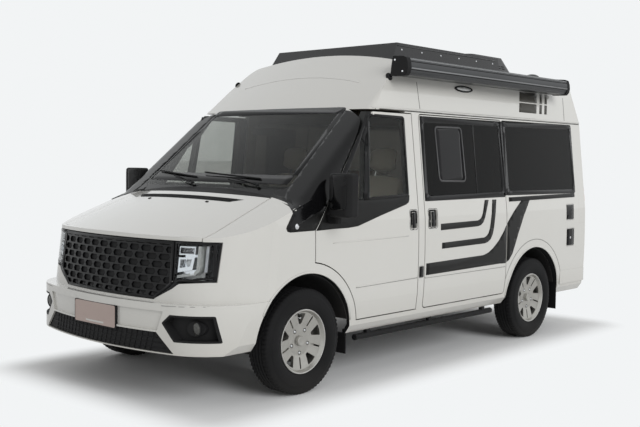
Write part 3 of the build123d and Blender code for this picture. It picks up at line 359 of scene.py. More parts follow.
def drape(bm, view, targets, lift, step, reach):
    """Cut the flat mesh finely, then lay it on the nodes."""
    look = VIEWS[view]
    tree = skin(targets)
    for axis in (0, 1):
        low = min(v.co[axis] for v in bm.verts)
        high = max(v.co[axis] for v in bm.verts)
        count = int((high - low) / step)
        for i in range(1, count + 1):
            place, normal = Vector((0, 0, 0)), Vector((0, 0, 0))
            place[axis] = low + (high - low) * i / (count + 1)
            normal[axis] = 1
            bmesh.ops.bisect_plane(bm, geom=bm.verts[:] + bm.edges[:] + bm.faces[:], plane_co=place,
                                   plane_no=normal)
    hits = [tree.ray_cast(look.place(v.co.x, v.co.y), look.direction)[0] for v in bm.verts]
    depths = sorted((hit - look.place(0, 0)).dot(look.direction) for hit in hits if hit)
    usual = depths[len(depths) // 2] if depths else 0.0
    lost = []
    for v in bm.verts:
        for da, db in ASIDE:
            hit, normal, _, far = tree.ray_cast(look.place(v.co.x + da, v.co.y + db), look.direction)
            if hit and normal.dot(look.direction) < GRAZING and abs(far - usual) < reach:
                v.co = hit - look.direction * lift
                break
        else:
            lost.append(v)
    bmesh.ops.delete(bm, geom=lost, context="VERTS")
    bmesh.ops.recalc_face_normals(bm, faces=bm.faces[:])
    if sum(f.normal.dot(look.direction) * f.calc_area() for f in bm.faces) > 0:
        bmesh.ops.reverse_faces(bm, faces=bm.faces[:])


def laid(name, outlines, view, targets, material, body="body", lift=0.0012, depth=0.0015, step=0.06,
         slot="black_trim", rims=(), reach=0.3):
    """Thin sheets with these outlines, and rims between paired outlines, laid on the CAD nodes."""
    bm = bmesh.new()
    for outline in outlines:
        bm.faces.new([bm.verts.new((a, b, 0)) for a, b in outline])
    for pair in rims:
        outer, inner = ([bm.verts.new((a, b, 0)) for a, b in edge] for edge in pair)
        for i in range(len(outer)):
            k = (i + 1) % len(outer)
            bm.faces.new((outer[i], outer[k], inner[k], inner[i]))
    bmesh.ops.triangulate(bm, faces=bm.faces[:])
    drape(bm, view, targets, lift, step, reach)
    mesh = bpy.data.meshes.new(name)
    bm.to_mesh(mesh)
    bm.free()
    piece = finish_piece(name, mesh, material, body)
    thick = piece.modifiers.new("thickness", "SOLIDIFY")
    thick.thickness = depth
    thick.offset = -1


def band(name, outer, inner, *where, **kind):
    """A rim between two outlines, laid on the CAD nodes."""
    laid(name, [], *where, rims=[(outer, inner)], **kind)


def path_outline(points, width):
    """The outline of a bent line of the given width."""
    left, right = [], []
    for i, p in enumerate(points):
        before = Vector(points[max(i - 1, 0)])
        after = Vector(points[min(i + 1, len(points) - 1)])
        side = (after - before).orthogonal().normalized() * width / 2
        left.append(tuple(Vector(p) + side))
        right.append(tuple(Vector(p) - side))
    return left + right[::-1]


def strip(start, end, width):
    return path_outline([start, end], width)


def rounded(points, radius, steps=5):
    """The outline with its corners rounded off."""
    out = []
    for i, corner in enumerate(points):
        corner = Vector(corner)
        back = Vector(points[i - 1]) - corner
        ahead = Vector(points[(i + 1) % len(points)]) - corner
        half = back.angle(ahead) / 2
        reach = min(radius / math.tan(half), back.length * SHARE_OF_SIDE, ahead.length * SHARE_OF_SIDE)
        a, b = corner + back.normalized() * reach, corner + ahead.normalized() * reach
        for t in (k / steps for k in range(steps + 1)):
            out.append(tuple((1 - t) ** 2 * a + 2 * t * (1 - t) * corner + t * t * b))
    return out


def grown(points, amount):
    """The outline with every side moved outwards by the amount."""
    ahead = points[1:] + points[:1]
    turn = sum(p[0] * q[1] - q[0] * p[1] for p, q in zip(points, ahead))
    sign = 1 if turn > 0 else -1
    out = []
    for i, p in enumerate(map(Vector, points)):
        sides = ((p - Vector(points[i - 1])).normalized(), (Vector(ahead[i]) - p).normalized())
        n1, n2 = (Vector((d.y, -d.x)) * sign for d in sides)
        out.append(tuple(p + (n1 + n2) * amount / (1 + n1.dot(n2))))
    return out


def rect(a0, b0, a1, b1):
    return [(a0, b0), (a1, b0), (a1, b1), (a0, b1)]


def pad_shape(a0, b0, a1, b1, radius):
    """A rectangle with rounded corners."""
    return rounded(rect(a0, b0, a1, b1), radius)


def arc(a, b, wide, high, degrees):
    """Points of an ellipse at these angles."""
    return [(a + wide * math.cos(t), b + high * math.sin(t)) for t in map(math.radians, degrees)]


def sided(outline, s):
    """The outline as drawn for the left side, or mirrored for the right one."""
    return outline if s > 0 else [(-a, b) for a, b in outline]


def between(low, high, t):
    return low + (high - low) * t


def lathe(name, profile, centre, axis, material, body="body", slot="black_trim", steps=48, smooth=True):
    """Profile points (along the axis, from the axis) turned about the axis."""
    along = Vector(axis).normalized()
    across = along.orthogonal().normalized()
    third = along.cross(across)
    verts = []
    for i in range(steps):
        angle = 2 * math.pi * i / steps
        out = across * math.cos(angle) + third * math.sin(angle)
        verts += [centre + along * a + out * r for a, r in profile]
    mesh_piece(name, verts, grid(steps, len(profile), True, False), material, body, smooth)


def ring(name, centre, axis, radius, thick, material, **where):
    """A closed round bead."""
    turns = [2 * math.pi * i / BEAD_SIDES for i in range(BEAD_SIDES + 1)]
    bead = [(thick * math.sin(a), radius + thick * math.cos(a)) for a in turns]
    lathe(name, bead, centre, axis, material, **where)


def screw(name, centre, axis, radius, steps, slot):
    profile = [(0.0, radius), (0.003, radius - 0.001), (0.004, radius - 0.004), (0.003, 0.0)]
    lathe(name, profile, centre, axis, chrome, slot=slot, steps=steps)


def rod(name, points, radius, material, body="body", sides=10, flat=1.0):
    """A round or flattened bar along the points, closed at both ends."""
    points = [Vector(p) for p in points]
    verts = []
    up = None
    for i, p in enumerate(points):
        ahead = (points[min(i + 1, len(points) - 1)] - points[max(i - 1, 0)]).normalized()
        up = ahead.orthogonal().normalized() if up is None else (up - ahead * up.dot(ahead)).normalized()
        side = ahead.cross(up)
        for angle in (2 * math.pi * k / sides for k in range(sides)):
            verts.append(p + (up * math.cos(angle) * flat + side * math.sin(angle)) * radius)
    mesh_piece(name, verts, closed(len(points), sides), material, body)


def paint_faces(node, finish, test):
    """Give one finish to the faces of a CAD node whose middle passes the test."""
    mesh = nodes[node].data
    mesh.materials.append(finish)
    index = len(mesh.materials) - 1
    for polygon in mesh.polygons:
        c = polygon.center
        if test(c.x, c.y - AXLE_Y, c.z, polygon.normal):
            polygon.material_index = index


# ---- finishes of the inner faces and of the black pillars ----
for side, s in SIDES:
    door = f"door_front_{side}"
    for node in ("wall_left", "slide_door") if s > 0 else ("wall_right",):
        paint_faces(node, cabin_light, lambda x, y, z, n: n.x * s < -0.5 and x * s > 0.5 and z > 0.57)
    paint_faces(door, cabin_light, lambda x, y, z, n: n.x * s < -0.5 and z < 1.27)
    paint_faces(door, satin_black, lambda x, y, z, n: n.x * s < -0.5 and z >= 1.27)
    paint_faces(f"rear_door_{side}", cabin_light, lambda x, y, z, n: n.y < -0.5)
    paint_faces(door, gloss_black, lambda x, y, z, n: z > 1.74 and y < 0.7 and n.x * s > 0.5)
    paint_faces(f"fender_{side}", gloss_black, lambda x, y, z, n: z > 1.3 and y > -0.1)
paint_faces("roof", cabin_light, lambda x, y, z, n: n.z < -0.4 or (n.x * x < -0.3 * abs(x) and abs(x) > 0.4))
paint_faces("roof", gloss_black, lambda x, y, z, n: 1.24 < z < 1.885 and y < 0.76)
paint_faces("floor_pan", underbody, lambda x, y, z, n: y < 0.12 or n.z < -0.5)

# ---- camera ----
CAMERA_AT = (5.144, -4.496, 1.543)
CAMERA_TURN = 42.1
CAMERA_DIP = 3.27
CAMERA_ROLL = 0.81
FOCAL_PIXELS = 946.7
PHOTO_WIDTH = 640
SENSOR = 36.0
camera_data = bpy.data.cameras.new("camera")
camera_data.sensor_width = SENSOR
camera_data.lens = FOCAL_PIXELS / PHOTO_WIDTH * SENSOR
camera_data.clip_end = FLOOR_REACH
camera = bpy.data.objects.new("camera", camera_data)
scene.collection.objects.link(camera)
camera.location = at(*CAMERA_AT)
turn = Matrix.Identity(3)
for angle, axis in ((CAMERA_TURN, "Z"), (90 - CAMERA_DIP, "X"), (CAMERA_ROLL, "Z")):
    turn = turn @ Matrix.Rotation(math.radians(angle), 3, axis)
camera.rotation_euler = turn.to_euler()
scene.camera = camera

# ---- black parts round the cab glass ----
MAIN_LIGHT = [(0.628, 1.27), (1.098, 1.288), (1.104, 1.862), (0.692, 1.866)]
DOOR_FOOT, DOOR_TOP = (0.074, 1.08), (0.7, 1.886)     # the door's front edge
DOOR_BAND = [(0.074, 1.075), (0.248, 1.08), (0.4, 1.081), (0.5, 1.088), (0.746, 1.15), (1.06, 1.222),
             (1.092, 1.236), (1.104, 1.256), (1.108, 1.292), (1.098, 1.292), (0.622, 1.273), (0.59, 1.271),
             (0.28, 1.266), (0.2185, 1.266)]
PILLAR = [(0.216, 1.262), (0.292, 1.266), (0.474, 1.522), (0.656, 1.776), (0.7, 1.862), (0.742, 1.866),
          (0.742, 1.885), (0.699, 1.885), (0.69, 1.872)]
TIP = [(0.6, 1.7), (0.66, 1.79), (0.692, 1.884), (0.735, 1.884), (0.722, 1.858), (0.706, 1.835),
       (0.69, 1.74), (0.67, 1.64), (0.64, 1.64)]
BAR = [(0.578, 1.262), (0.632, 1.264), (0.664, 1.56), (0.697, 1.872), (0.692, 1.872), (0.648, 1.774)]
DOOR_TIP = [(0.64, 1.74), (0.7, 1.88), (0.74, 1.88), (0.722, 1.84), (0.706, 1.76)]
SAIL = [(-0.17, 1.076), (-0.196, 1.082), (-0.207, 1.103), (-0.2, 1.118), (-0.13, 1.208), (-0.04, 1.312),
        (0.01, 1.345), (0.266, 1.345), (0.063, 1.078)]
SAIL_EDGE = ((0.13, 1.16), (0.07, 1.086), (-0.165, 1.09), (-0.185, 1.105), (-0.122, 1.185), (-0.04, 1.285))
SCREEN = [(-0.772, 1.34), (0.772, 1.34), (0.692, 1.918), (-0.692, 1.918)]

for side, s in SIDES:
    door, fender = f"door_front_{side}", f"fender_{side}"
    panes = f"{door} door_glass_{side}"
    paint_faces(door, satin_black, lambda x, y, z, n: n.y < -0.3 and z > 1.08)
    laid(f"door_band_{side}", [DOOR_BAND], side, panes, satin_black, door)
    laid(f"door_pillar_{side}", [PILLAR, BAR, TIP], side, panes, gloss_black, door)
    outer = rounded(MAIN_LIGHT, 0.024)
    band(f"window_edge_{side}", grown(outer, 0.006), grown(outer, -0.014), side, panes, gloss_black, door,
         lift=0.002)
    frame_x = surface_point(side, panes, 0.745, 1.872).x
    prism(f"door_tip_{side}", DOOR_TIP, "side", frame_x - s * 0.016, frame_x - s * 0.009, gloss_black, door)
    crease = [(s * (0.978 - 0.0401 * d), -1.8615 + d, 1.1559 + 0.3628 * d)
              for d in (0.155, 0.2, 0.25, 0.3, 0.34)]
    rod(f"sail_bead_{side}", crease, 0.0045, gloss_black)
    laid(f"sail_trim_{side}", [SAIL], side, f"{fender} roof cowl_panel", satin_black, lift=0.002)
    # the screen pillar, seen from the corner: up beside the screen, then down beside the door
    look = VIEWS[f"corner_{side}"]
    edge = []
    for t in (0.0, 0.2, 0.4, 0.6, 0.8, 1.0):
        hit = surface_point("front", f"roof windscreen cowl_panel {fender} bonnet",
                            s * (between(0.776, 0.701, t) - 0.006), between(1.338, 1.898, t))
        if hit:
            edge.append(look.flat(hit))
    for t in (1.0, 0.95, 0.9, 0.8, 0.6, 0.4, 0.2, 0.0):
        z = between(1.235, 1.892, t)
        y = between(DOOR_FOOT[0], DOOR_TOP[0], (z - DOOR_FOOT[1]) / (DOOR_TOP[1] - DOOR_FOOT[1])) - 0.0085
        for back in range(0, 90, 2):
            hit = surface_point(side, f"roof {fender}", y - back / 1000, z)
            if hit and hit.x * s > 0.5:
                edge.append((look.flat(hit)[0] + 0.01, z))
                break
    for y, z in SAIL_EDGE:
        hit = surface_point(side, f"roof {fender} cowl_panel bonnet", y, z)
        if hit:
            edge.append(look.flat(hit))
    laid(f"screen_pillar_{side}", [edge], f"corner_{side}", f"roof {fender}", gloss_black, step=0.02,
         lift=0.0045, depth=0.005, reach=0.6)
    lathe(f"repeater_{side}", [(0.0, 0.019), (0.004, 0.018), (0.007, 0.013), (0.0085, 0.0)],
          surface_point(side, fender, -0.11, 1.112) + Vector((0.001 * s, 0, 0)), (s, 0, 0), chrome,
          slot="lamp_glass", steps=24)
# seal round the windscreen glass, inside the opening
screen_edge = rounded(SCREEN, 0.04)
band("screen_border", grown(screen_edge, 0.004), grown(screen_edge, -0.042), "front", "windscreen roof",
     gloss_black, step=0.05)
laid("screen_foot", [rect(-0.735, 1.372, 0.735, 1.432)], "front", "windscreen", gloss_black, lift=0.0008,
     step=0.05)

# ---- side and rear glass: the black bands that join the panes ----
SLIDE_PANE = [(1.312, 1.252), (2.428, 1.262), (2.428, 1.87), (1.312, 1.862)]
REAR_PANE = [(2.48, 1.268), (3.682, 1.268), (3.682, 1.884), (2.48, 1.87)]
SLIDE_BAND = [(1.3, 1.24), (2.4465, 1.25), (2.4465, 1.883), (1.3, 1.88)]
REAR_BAND = [(2.459, 1.262), (3.694, 1.262), (3.694, 1.898), (2.459, 1.892)]
UNDER_RAIL = [(2.5, 1.246), (3.668, 1.262), (3.668, 1.226), (2.5, 1.21)]
VENT = [(1.5, 1.385), (1.872, 1.379), (1.852, 1.815), (1.48, 1.812)]
REAR_WINDOW = [(0.15, 1.29), (0.79, 1.29), (0.74, 1.84), (0.15, 1.84)]
for side, s in SIDES:
    slide = "slide_door slide_glass" if s > 0 else "wall_right side_glass"
    wall = f"wall_{side} side_glass"
    band(f"slide_band_{side}", rounded(SLIDE_BAND, 0.012), rounded(grown(SLIDE_PANE, -0.03), 0.03), side,
         slide, gloss_black)
    band(f"rear_band_{side}", rounded(REAR_BAND, 0.03), rounded(grown(REAR_PANE, -0.03), 0.03), side, wall,
         gloss_black)
    laid(f"pane_bridge_{side}", [rect(2.44, 1.262, 2.466, 1.884)], side, f"{slide} {wall}", gloss_black,
         lift=0.002)
    vent = rounded(VENT, 0.045)
    band(f"vent_frame_{side}", vent, grown(vent, -0.014), side, slide, satin_grey, lift=0.003, depth=0.003)
    laid(f"vent_pane_{side}", [grown(vent, -0.013)], side, slide, smoked, slot="dark_glass", lift=0.0015)
    laid(f"vent_rail_{side}", [strip((2.02, 1.262), (2.02, 1.862), 0.016)], side, slide, satin_black,
         lift=0.001)
    laid(f"under_rail_{side}", [UNDER_RAIL], side, wall, satin_black, lift=0.004, depth=0.005)
for side, s in SIDES:
    pane = sided(rounded(REAR_WINDOW, 0.05), s)
    band(f"rear_window_border_{side}", grown(pane, 0.022), grown(pane, -0.02), "rear",
         f"rear_door_{side} rear_glass_{side}", gloss_black, f"rear_door_{side}")

# ---- dark stripes on the sides ----
STRIPES = (
    [(1.49, 1.014), (2.008, 1.023), (2.052, 1.031), (2.088, 1.052), (2.112, 1.085), (2.13, 1.125),
     (2.182, 1.232), (2.123, 1.232), (2.082, 1.128), (2.064, 1.098), (2.04, 1.079), (2.006, 1.07),
     (1.49, 1.064)],
    [(1.507, 0.871), (2.11, 0.879), (2.16, 0.888), (2.202, 0.91), (2.232, 0.95), (2.25, 1.0), (2.3, 1.232),
     (2.238, 1.232), (2.203, 1.062), (2.188, 1.0), (2.166, 0.96), (2.14, 0.94), (2.106, 0.928),
     (1.507, 0.917)],
    [(1.306, 0.683), (2.346, 0.696), (2.435, 0.693), (2.5, 0.716), (2.55, 0.766), (2.59, 0.836),
     (2.64, 0.932), (2.74, 1.096), (2.86, 1.236), (2.732, 1.236), (2.56, 1.12), (2.47, 1.04), (2.4, 0.96),
     (2.33, 0.892), (2.24, 0.832), (2.17, 0.8), (2.097, 0.784), (1.306, 0.772)],
)
GRAPHIC = (
    ([(2.792, 1.978), (3.09, 1.978), (3.14, 2.062), (2.84, 2.062)],
     [(2.846, 2.074), (3.147, 2.074), (3.196, 2.165), (2.897, 2.165)]),
    ([(3.142, 1.978), (3.186, 1.978), (3.238, 2.062), (3.194, 2.062)],
     [(3.201, 2.074), (3.245, 2.074), (3.298, 2.165), (3.254, 2.165)],
     [(3.232, 1.978), (3.276, 1.978), (3.328, 2.062), (3.284, 2.062)],
     [(3.291, 2.074), (3.335, 2.074), (3.388, 2.165), (3.344, 2.165)]),
)


def clipped(outline, low, high):
    """The part of an outline between two lengths aft."""
    for bound, keep in ((low, 1), (high, -1)):
        out = []
        for p, q in zip(outline, outline[1:] + outline[:1]):
            inside_p, inside_q = (p[0] - bound) * keep >= 0, (q[0] - bound) * keep >= 0
            if inside_p:
                out.append(p)
            if inside_p != inside_q:
                out.append((bound, between(p[1], q[1], (bound - p[0]) / (q[0] - p[0]))))
        outline = out
    return outline


def swage(name, side, s, line, view, node, body="body"):
    """A raised line across a panel, with a grey line of painted shade under it at the fold; the line is drawn
    for the left side.
    """
    a0, b0, a1, b1 = line
    laid(f"{name}_swage_{side}", [sided(strip((a0, b0), (a1, b1), 0.007), s)], view, node, paint, body,
         slot="paint", lift=0.0035, depth=0.004)
    # the crease sheet is painted shade under the raised line
    laid(f"{name}_crease_{side}", [sided(strip((a0, b0 - 0.0055), (a1, b1 - 0.0055), 0.0035), s)], view,
         node, fold_shade, body, slot="paint")


for side, s in SIDES:
    wall = f"wall_{side}"
    if s > 0:
        laid("stripes_slide_door", [clipped(o, 1.296, 2.448) for o in STRIPES], side, "slide_door", decal,
             step=0.05)
        laid("stripes_wall_left", [clipped(o, 2.46, 3.4) for o in STRIPES[2:]], side, wall, decal, step=0.05)
    else:
        laid("stripes_wall_right", STRIPES, side, wall, decal, step=0.05)
    for k, group in enumerate(GRAPHIC):
        laid(f"roof_graphic_{k}_{side}", group, side, "roof", decal_brown, step=0.04)
    laid(f"stop_cover_{side}", [pad_shape(1.22, 0.674, 1.272, 0.754, 0.008)], side,
         "service_covers" if s > 0 else wall, gloss_black, lift=0.003, depth=0.004)
for name, corners in (("filler", (3.504, 1.022, 3.638, 1.156)), ("service", (3.511, 0.78, 3.648, 0.934))):
    laid(f"{name}_face", [pad_shape(*corners, 0.01)], "left", "service_covers", gloss_black, lift=0.002,
         depth=0.003)
lathe("service_lock", [(0.0, 0.011), (0.003, 0.011), (0.004, 0.008), (0.002, 0.0)],
      surface_point("left", "service_covers", 3.575, 0.852) + Vector((0.002, 0, 0)), LEFTWARD, chrome,
      steps=20)

# ---- seams, swage lines with painted shade under them, and the drip rail with its painted shadow ----
ARCH_LIP_R = 0.4575
ARCH_FLARE_R = 0.52
for side, s in SIDES:
    wall, door, fender = f"wall_{side}", f"door_front_{side}", f"fender_{side}"
    laid(f"drip_rail_{side}", [path_outline([(0.64, 1.9205), (2.2, 1.9225), (3.86, 1.9225)], 0.012)], side,
         "roof", paint, slot="paint", lift=0.007, depth=0.008)
    # painted shadow under the drip rail
    laid(f"drip_shadow_{side}", [strip((0.66, 1.9085), (3.862, 1.9085), 0.006)], side, f"roof {wall}", joint_and_shade_line)
    laid(f"roof_seams_{side}", [strip((1.317, 1.934), (1.363, 2.14), 0.0035),
                                strip((3.581, 1.934), (3.677, 2.15), 0.0035)], side, "roof", joint_and_shade_line)
    swage("door", side, 1, (0.488, 0.668, 1.196, 0.678), side, door, door)
    swage("slide", side, 1, (1.296, 0.668, 2.444, 0.668), side, "slide_door" if s > 0 else wall)
    laid(f"door_waist_{side}", [strip((0.24, 0.985), (1.08, 0.992), 0.006)], side, door, paint, door,
         slot="paint", lift=0.003, depth=0.004)
    # rolled lips of the wheel arches
    for name, y, node, ends in (("front", 0.0, fender, (12, 172)), ("rear", WHEELBASE, wall, (3, 177))):
        paint_faces(node, moulded,
                    lambda a, b, c, n: abs(n.x) < 0.5 and math.hypot(b - y, c - TYRE_R) < 0.463)
        lip = arc(y, TYRE_R, ARCH_LIP_R, ARCH_LIP_R, range(*ends, 4))
        laid(f"arch_lip_{name}_{side}", [path_outline(lip, 0.013)], side, node, paint, slot="paint",
             lift=0.004, depth=0.005, step=0.5)
    flare = arc(WHEELBASE, TYRE_R, ARCH_FLARE_R, ARCH_FLARE_R, range(12, 165, 4))
    # a grey line of painted shade along the rear arch's flare
    laid(f"arch_flare_rear_{side}", [path_outline(flare, 0.005)], side, wall, fold_shade, slot="paint",
         step=0.5)
    handles = (("front", 1.104, 1.186, door, door), ("slide", 1.334, 1.442, "body", "slide_door"))
    for name, y0, y1, body, node in handles if s > 0 else (("right", 1.104, 1.186, door, door),):
        mid = (y0 + y1) / 2
        band(f"handle_rim_{name}", pad_shape(y0 - 0.006, 1.034, y1 + 0.006, 1.182, 0.02),
             pad_shape(y0 + 0.002, 1.044, y1 - 0.002, 1.174, 0.016), side, node, satin_black, body,
             lift=0.002, depth=0.003)
        laid(f"handle_cup_{name}", [pad_shape(y0 + 0.001, 1.043, y1 - 0.001, 1.175, 0.016)], side, node,
             satin_black, body, lift=0.001)
        laid(f"handle_pull_{name}", [pad_shape(mid - 0.019, 1.046, mid + 0.019, 1.162, 0.01)], side, node,
             gloss_black, body, lift=0.004, depth=0.006)
paint_faces("tail_lamps", paint, lambda x, y, z, n: abs(n.x) > 0.55)

# ---- front: grille, lamps, plate, wipers ----
FORWARD = (0, -1, 0)
PLATE_Y = -0.9615
LAMP_OPENING = [(0.6, 1.024), (0.836, 1.024), (0.848, 0.812), (0.606, 0.77)]
LAMP_EDGE = [(0.612, 1.012), (0.822, 1.012), (0.832, 0.822), (0.616, 0.786)]
LAMP_LINE = [(-0.588, 1.022), (0.588, 1.022), (0.6, 0.762), (0.468, 0.666), (-0.468, 0.666), (-0.6, 0.762)]
GRILLE_CORNER = [(0.472, 0.666), (0.606, 0.738), (0.65, 0.772), (0.606, 0.786), (0.594, 0.762)]


def grille_front(x, z):
    """The length aft of the grille's own face at this place."""
    return -0.905 + 0.07 * min(1.0, abs(x) / 0.62) ** 2 + (z - 0.56) * 0.123


paint_faces("grille_panel", moulded, lambda x, y, z, n: n.y < -0.5 and abs(x) < 0.57 and 0.7 < z < 1.005
            and y - grille_front(x, z) > 0.007)
paint_faces("headlamps", chrome, lambda x, y, z, n: 0.618 < abs(x) < 0.728 and 0.832 < z < 1.003)
paint_faces("headlamps", light_guide, lambda x, y, z, n: (0.736 < abs(x) < 0.76 and 0.8 < z < 1.004) or
            (0.618 < abs(x) < 0.745 and 0.8 < z < 0.832))
paint_faces("headlamps", dull_chrome, lambda x, y, z, n: 0.779 < abs(x) < 0.799 and 0.838 < z < 1.004)
for side, s in SIDES:
    lamp = dict(view="front", targets="headlamps", slot="lamp_glass")
    fins = [sided(strip((0.626, z), (0.72, z + 0.002), 0.0035), s) for z in (0.956, 0.966, 0.976, 0.986)]
    laid(f"lamp_fins_{side}", fins, material=dull_chrome, lift=0.003, depth=0.003, **lamp)
    laid(f"lamp_hood_{side}", [sided(rect(0.63, 0.954, 0.718, 0.992), s)], material=smoked, lift=0.0015,
         **lamp)
    bulb = surface_point("front", "headlamps", s * 0.668, 0.898) - Vector((0, 0.012, 0))
    lathe(f"lamp_bulb_{side}", [(-0.02, 0.026), (-0.006, 0.024), (0.004, 0.018), (0.009, 0.009), (0.01, 0)],
          bulb, FORWARD, lens_clear, slot="lamp_glass", steps=28)
    ring(f"lamp_bezel_{side}", bulb, FORWARD, 0.027, 0.003, chrome, slot="lamp_glass", steps=28)
    # round fog lamp in its recess
    fog = surface_point("front", "bumper_inserts", s * 0.79, 0.508) - Vector((0, 0.001, 0))
    lathe(f"fog_glass_{side}", [(-0.004, 0.043), (0.0, 0.043), (0.005, 0.034), (0.008, 0.018), (0.009, 0.0)],
          fog, FORWARD, smoked_lens, slot="lamp_glass", steps=32)
    ring(f"fog_ring_{side}", fog, FORWARD, 0.046, 0.005, moulded, steps=32)
    band(f"headlamp_seal_{side}", sided(LAMP_OPENING, s), sided(LAMP_EDGE, s), "front",
         f"headlamps headlamp_lenses fender_{side} bumper_front", gloss_black, lift=0.002)
band("grille_frame", LAMP_LINE, grown(LAMP_LINE, -0.018), "front", "grille_panel", gloss_black, lift=0.0035,
     depth=0.004)
for side, s in SIDES:
    laid(f"grille_corner_{side}", [sided(GRILLE_CORNER, s)], "front",
         f"grille_panel bumper_front fender_{side} headlamps", gloss_black, lift=0.0015, step=0.03)
prism("plate_front", pad_shape(-0.218, 0.462, 0.218, 0.602, 0.012), "front", PLATE_Y - 0.0015, PLATE_Y,
      plate_blank, slot="paint")
prism("plate_holder", pad_shape(-0.226, 0.455, 0.226, 0.606, 0.01), "front", PLATE_Y + 0.0005,
      PLATE_Y + 0.014, moulded)
# grey lines of painted shade along the folds of the bumper's sides
laid("bumper_lines", [strip((-0.86, 0.648), (-0.6, 0.64), 0.003), strip((0.6, 0.64), (0.86, 0.648), 0.003)],
     "front", "bumper_front", fold_shade, slot="paint")
mesh_lines = [strip((x, 0.356), (x + 0.028, 0.47), 0.005) for x in (i * 0.045 - 0.62 for i in range(28))
              if abs(x + 0.014) < 0.56]
mesh_lines += [strip((d - 0.62, 0.378 + d), (0.62 - d, 0.378 + d), 0.005) for d in (0.0, 0.03, 0.06)]
laid("intake_mesh", mesh_lines, "front", "bumper_inserts", moulded, lift=0.004, depth=0.005, step=0.15)
inlet = [[(x, -0.212 + 0.04 * (x / 0.554) ** 2 - 0.012 * k - 0.004) for x in
          (i * 0.05 - 0.5 + 0.011 * k for i in range(21 - k // 2))] for k in range(4)]
laid("inlet_slats", [path_outline(row, 0.005) for row in inlet], "top", "bonnet_inlet", moulded, "bonnet",
     lift=0.003, depth=0.004, step=0.1)
for side, s in SIDES:
    laid(f"washer_jet_{side}", [pad_shape(s * 0.31 - 0.012, -0.292, s * 0.31 + 0.012, -0.276, 0.005)], "top",
         "bonnet", moulded, "bonnet", lift=0.004, depth=0.005)

OFF_SCREEN = Vector((0, -0.63, 0.77))       # straight out of the windscreen
WIPER_FOOT, WIPER_TOP = 1.352, 1.392


def on_screen(x, z, lift):
    return surface_point("front", "windscreen roof cowl_panel bonnet", x, z) + OFF_SCREEN * lift


for name, pivot, tip in (("left", 0.52, -0.1), ("right", -0.12, -0.68)):
    arm = [on_screen(between(pivot, tip, t * 0.55), between(WIPER_FOOT, WIPER_TOP + 0.02, t * 0.8),
                     0.012 + 0.012 * math.sin(3.1 * t)) for t in (0.0, 0.2, 0.4, 0.6, 0.8, 1.0)]
    rod(f"wiper_arm_{name}", arm, 0.0065, moulded, flat=0.6)
    blade = [on_screen(between(pivot, tip, t), WIPER_TOP + 0.006 + 0.035 * t, 0.008)
             for t in (0.05, 0.15, 0.3, 0.45, 0.6, 0.75, 0.9, 1.0)]
    rod(f"wiper_blade_{name}", blade, 0.006, rubber)
    lathe(f"wiper_cap_{name}", [(0.0, 0.014), (0.01, 0.013), (0.014, 0.008), (0.015, 0.0)], arm[0],
          OFF_SCREEN, moulded, steps=20)

# ---- mirrors ----
for side, s in SIDES:
    mirror, door = f"mirror_{side}", f"door_front_{side}"
    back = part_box(mirror)[1][1] - AXLE_Y
    x0, x1 = sorted((s * 1.014, s * 1.19))
    for part, z0, z1, radius in (("glass", 1.262, 1.438, 0.022), ("wide", 1.18, 1.25, 0.018)):
        prism(f"mirror_{part}_{side}", pad_shape(x0 + 0.018, z0, x1 - 0.014, z1, radius), "front",
              back - 0.001, back + 0.001, mirror_glass, door, slot="clear_glass")
    laid(f"mirror_shell_{side}", [pad_shape(x0 + 0.012, 1.215, x1 - 0.012, 1.442, 0.034)], "front", mirror,
         gloss_black, door, lift=0.002)
    laid(f"mirror_seam_{side}", [strip((0.15, 1.205), (0.262, 1.205), 0.003)], side, mirror, joint_and_shade_line, door,
         lift=0.0, depth=0.0005)

# ---- wheels ----
TREAD_HALF = 0.072
RIBS = (-0.04, -0.014, 0.014, 0.04)
GROOVE = 0.0042
GROOVE_R = 0.342
LUGS = 72
STEPS_A_LUG = 3
SIDEWALL = [(-0.0745, 0.2045), (-0.0765, 0.214), (-0.084, 0.222), (-0.0925, 0.242), (-0.0935, 0.246),
            (-0.0965, 0.262), (-0.0973, 0.278), (-0.0962, 0.296), (-0.094, 0.304), (-0.0926, 0.306),
            (-0.0895, 0.32), (-0.0865, 0.33), (-0.0838, 0.338), (-0.0795, 0.3455)]


def tyre(name, centre, s, body):
    """A tyre with grooves round its tread and cuts across it, from points (along the axle, from the axle)."""
    tread = [(-TREAD_HALF, 0.3493)]
    for x in RIBS:
        tread += [(x - GROOVE, 0.3497), (x - GROOVE * 0.5, GROOVE_R), (x + GROOVE * 0.5, GROOVE_R),
                  (x + GROOVE, 0.3497)]
    tread += [(TREAD_HALF, 0.3493)]
    profile = SIDEWALL + tread + [(-a, r) for a, r in SIDEWALL[::-1]]
    first, last = len(SIDEWALL), len(SIDEWALL) + len(tread)
    steps = LUGS * STEPS_A_LUG
    verts = []
    for i in range(steps):
        cut = i % STEPS_A_LUG == 0
        for k, (a, r) in enumerate(profile):
            twist = 0.012 * math.sin(a / TREAD_HALF * 2.2) if first <= k < last else 0.0
            if cut and (first - 2 <= k <= first + 2 or last - 3 <= k <= last + 1):
                r -= 0.006
            elif cut and first <= k < last and r > 0.349:
                r -= 0.0018
            t = 2 * math.pi * i / steps + twist
            verts.append(centre + Vector((s * a, r * math.cos(t), r * math.sin(t))))
    piece = mesh_piece(name, verts, grid(steps, len(profile), True), rubber, body)
    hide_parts("tyre_" + body[len("wheel_"):])


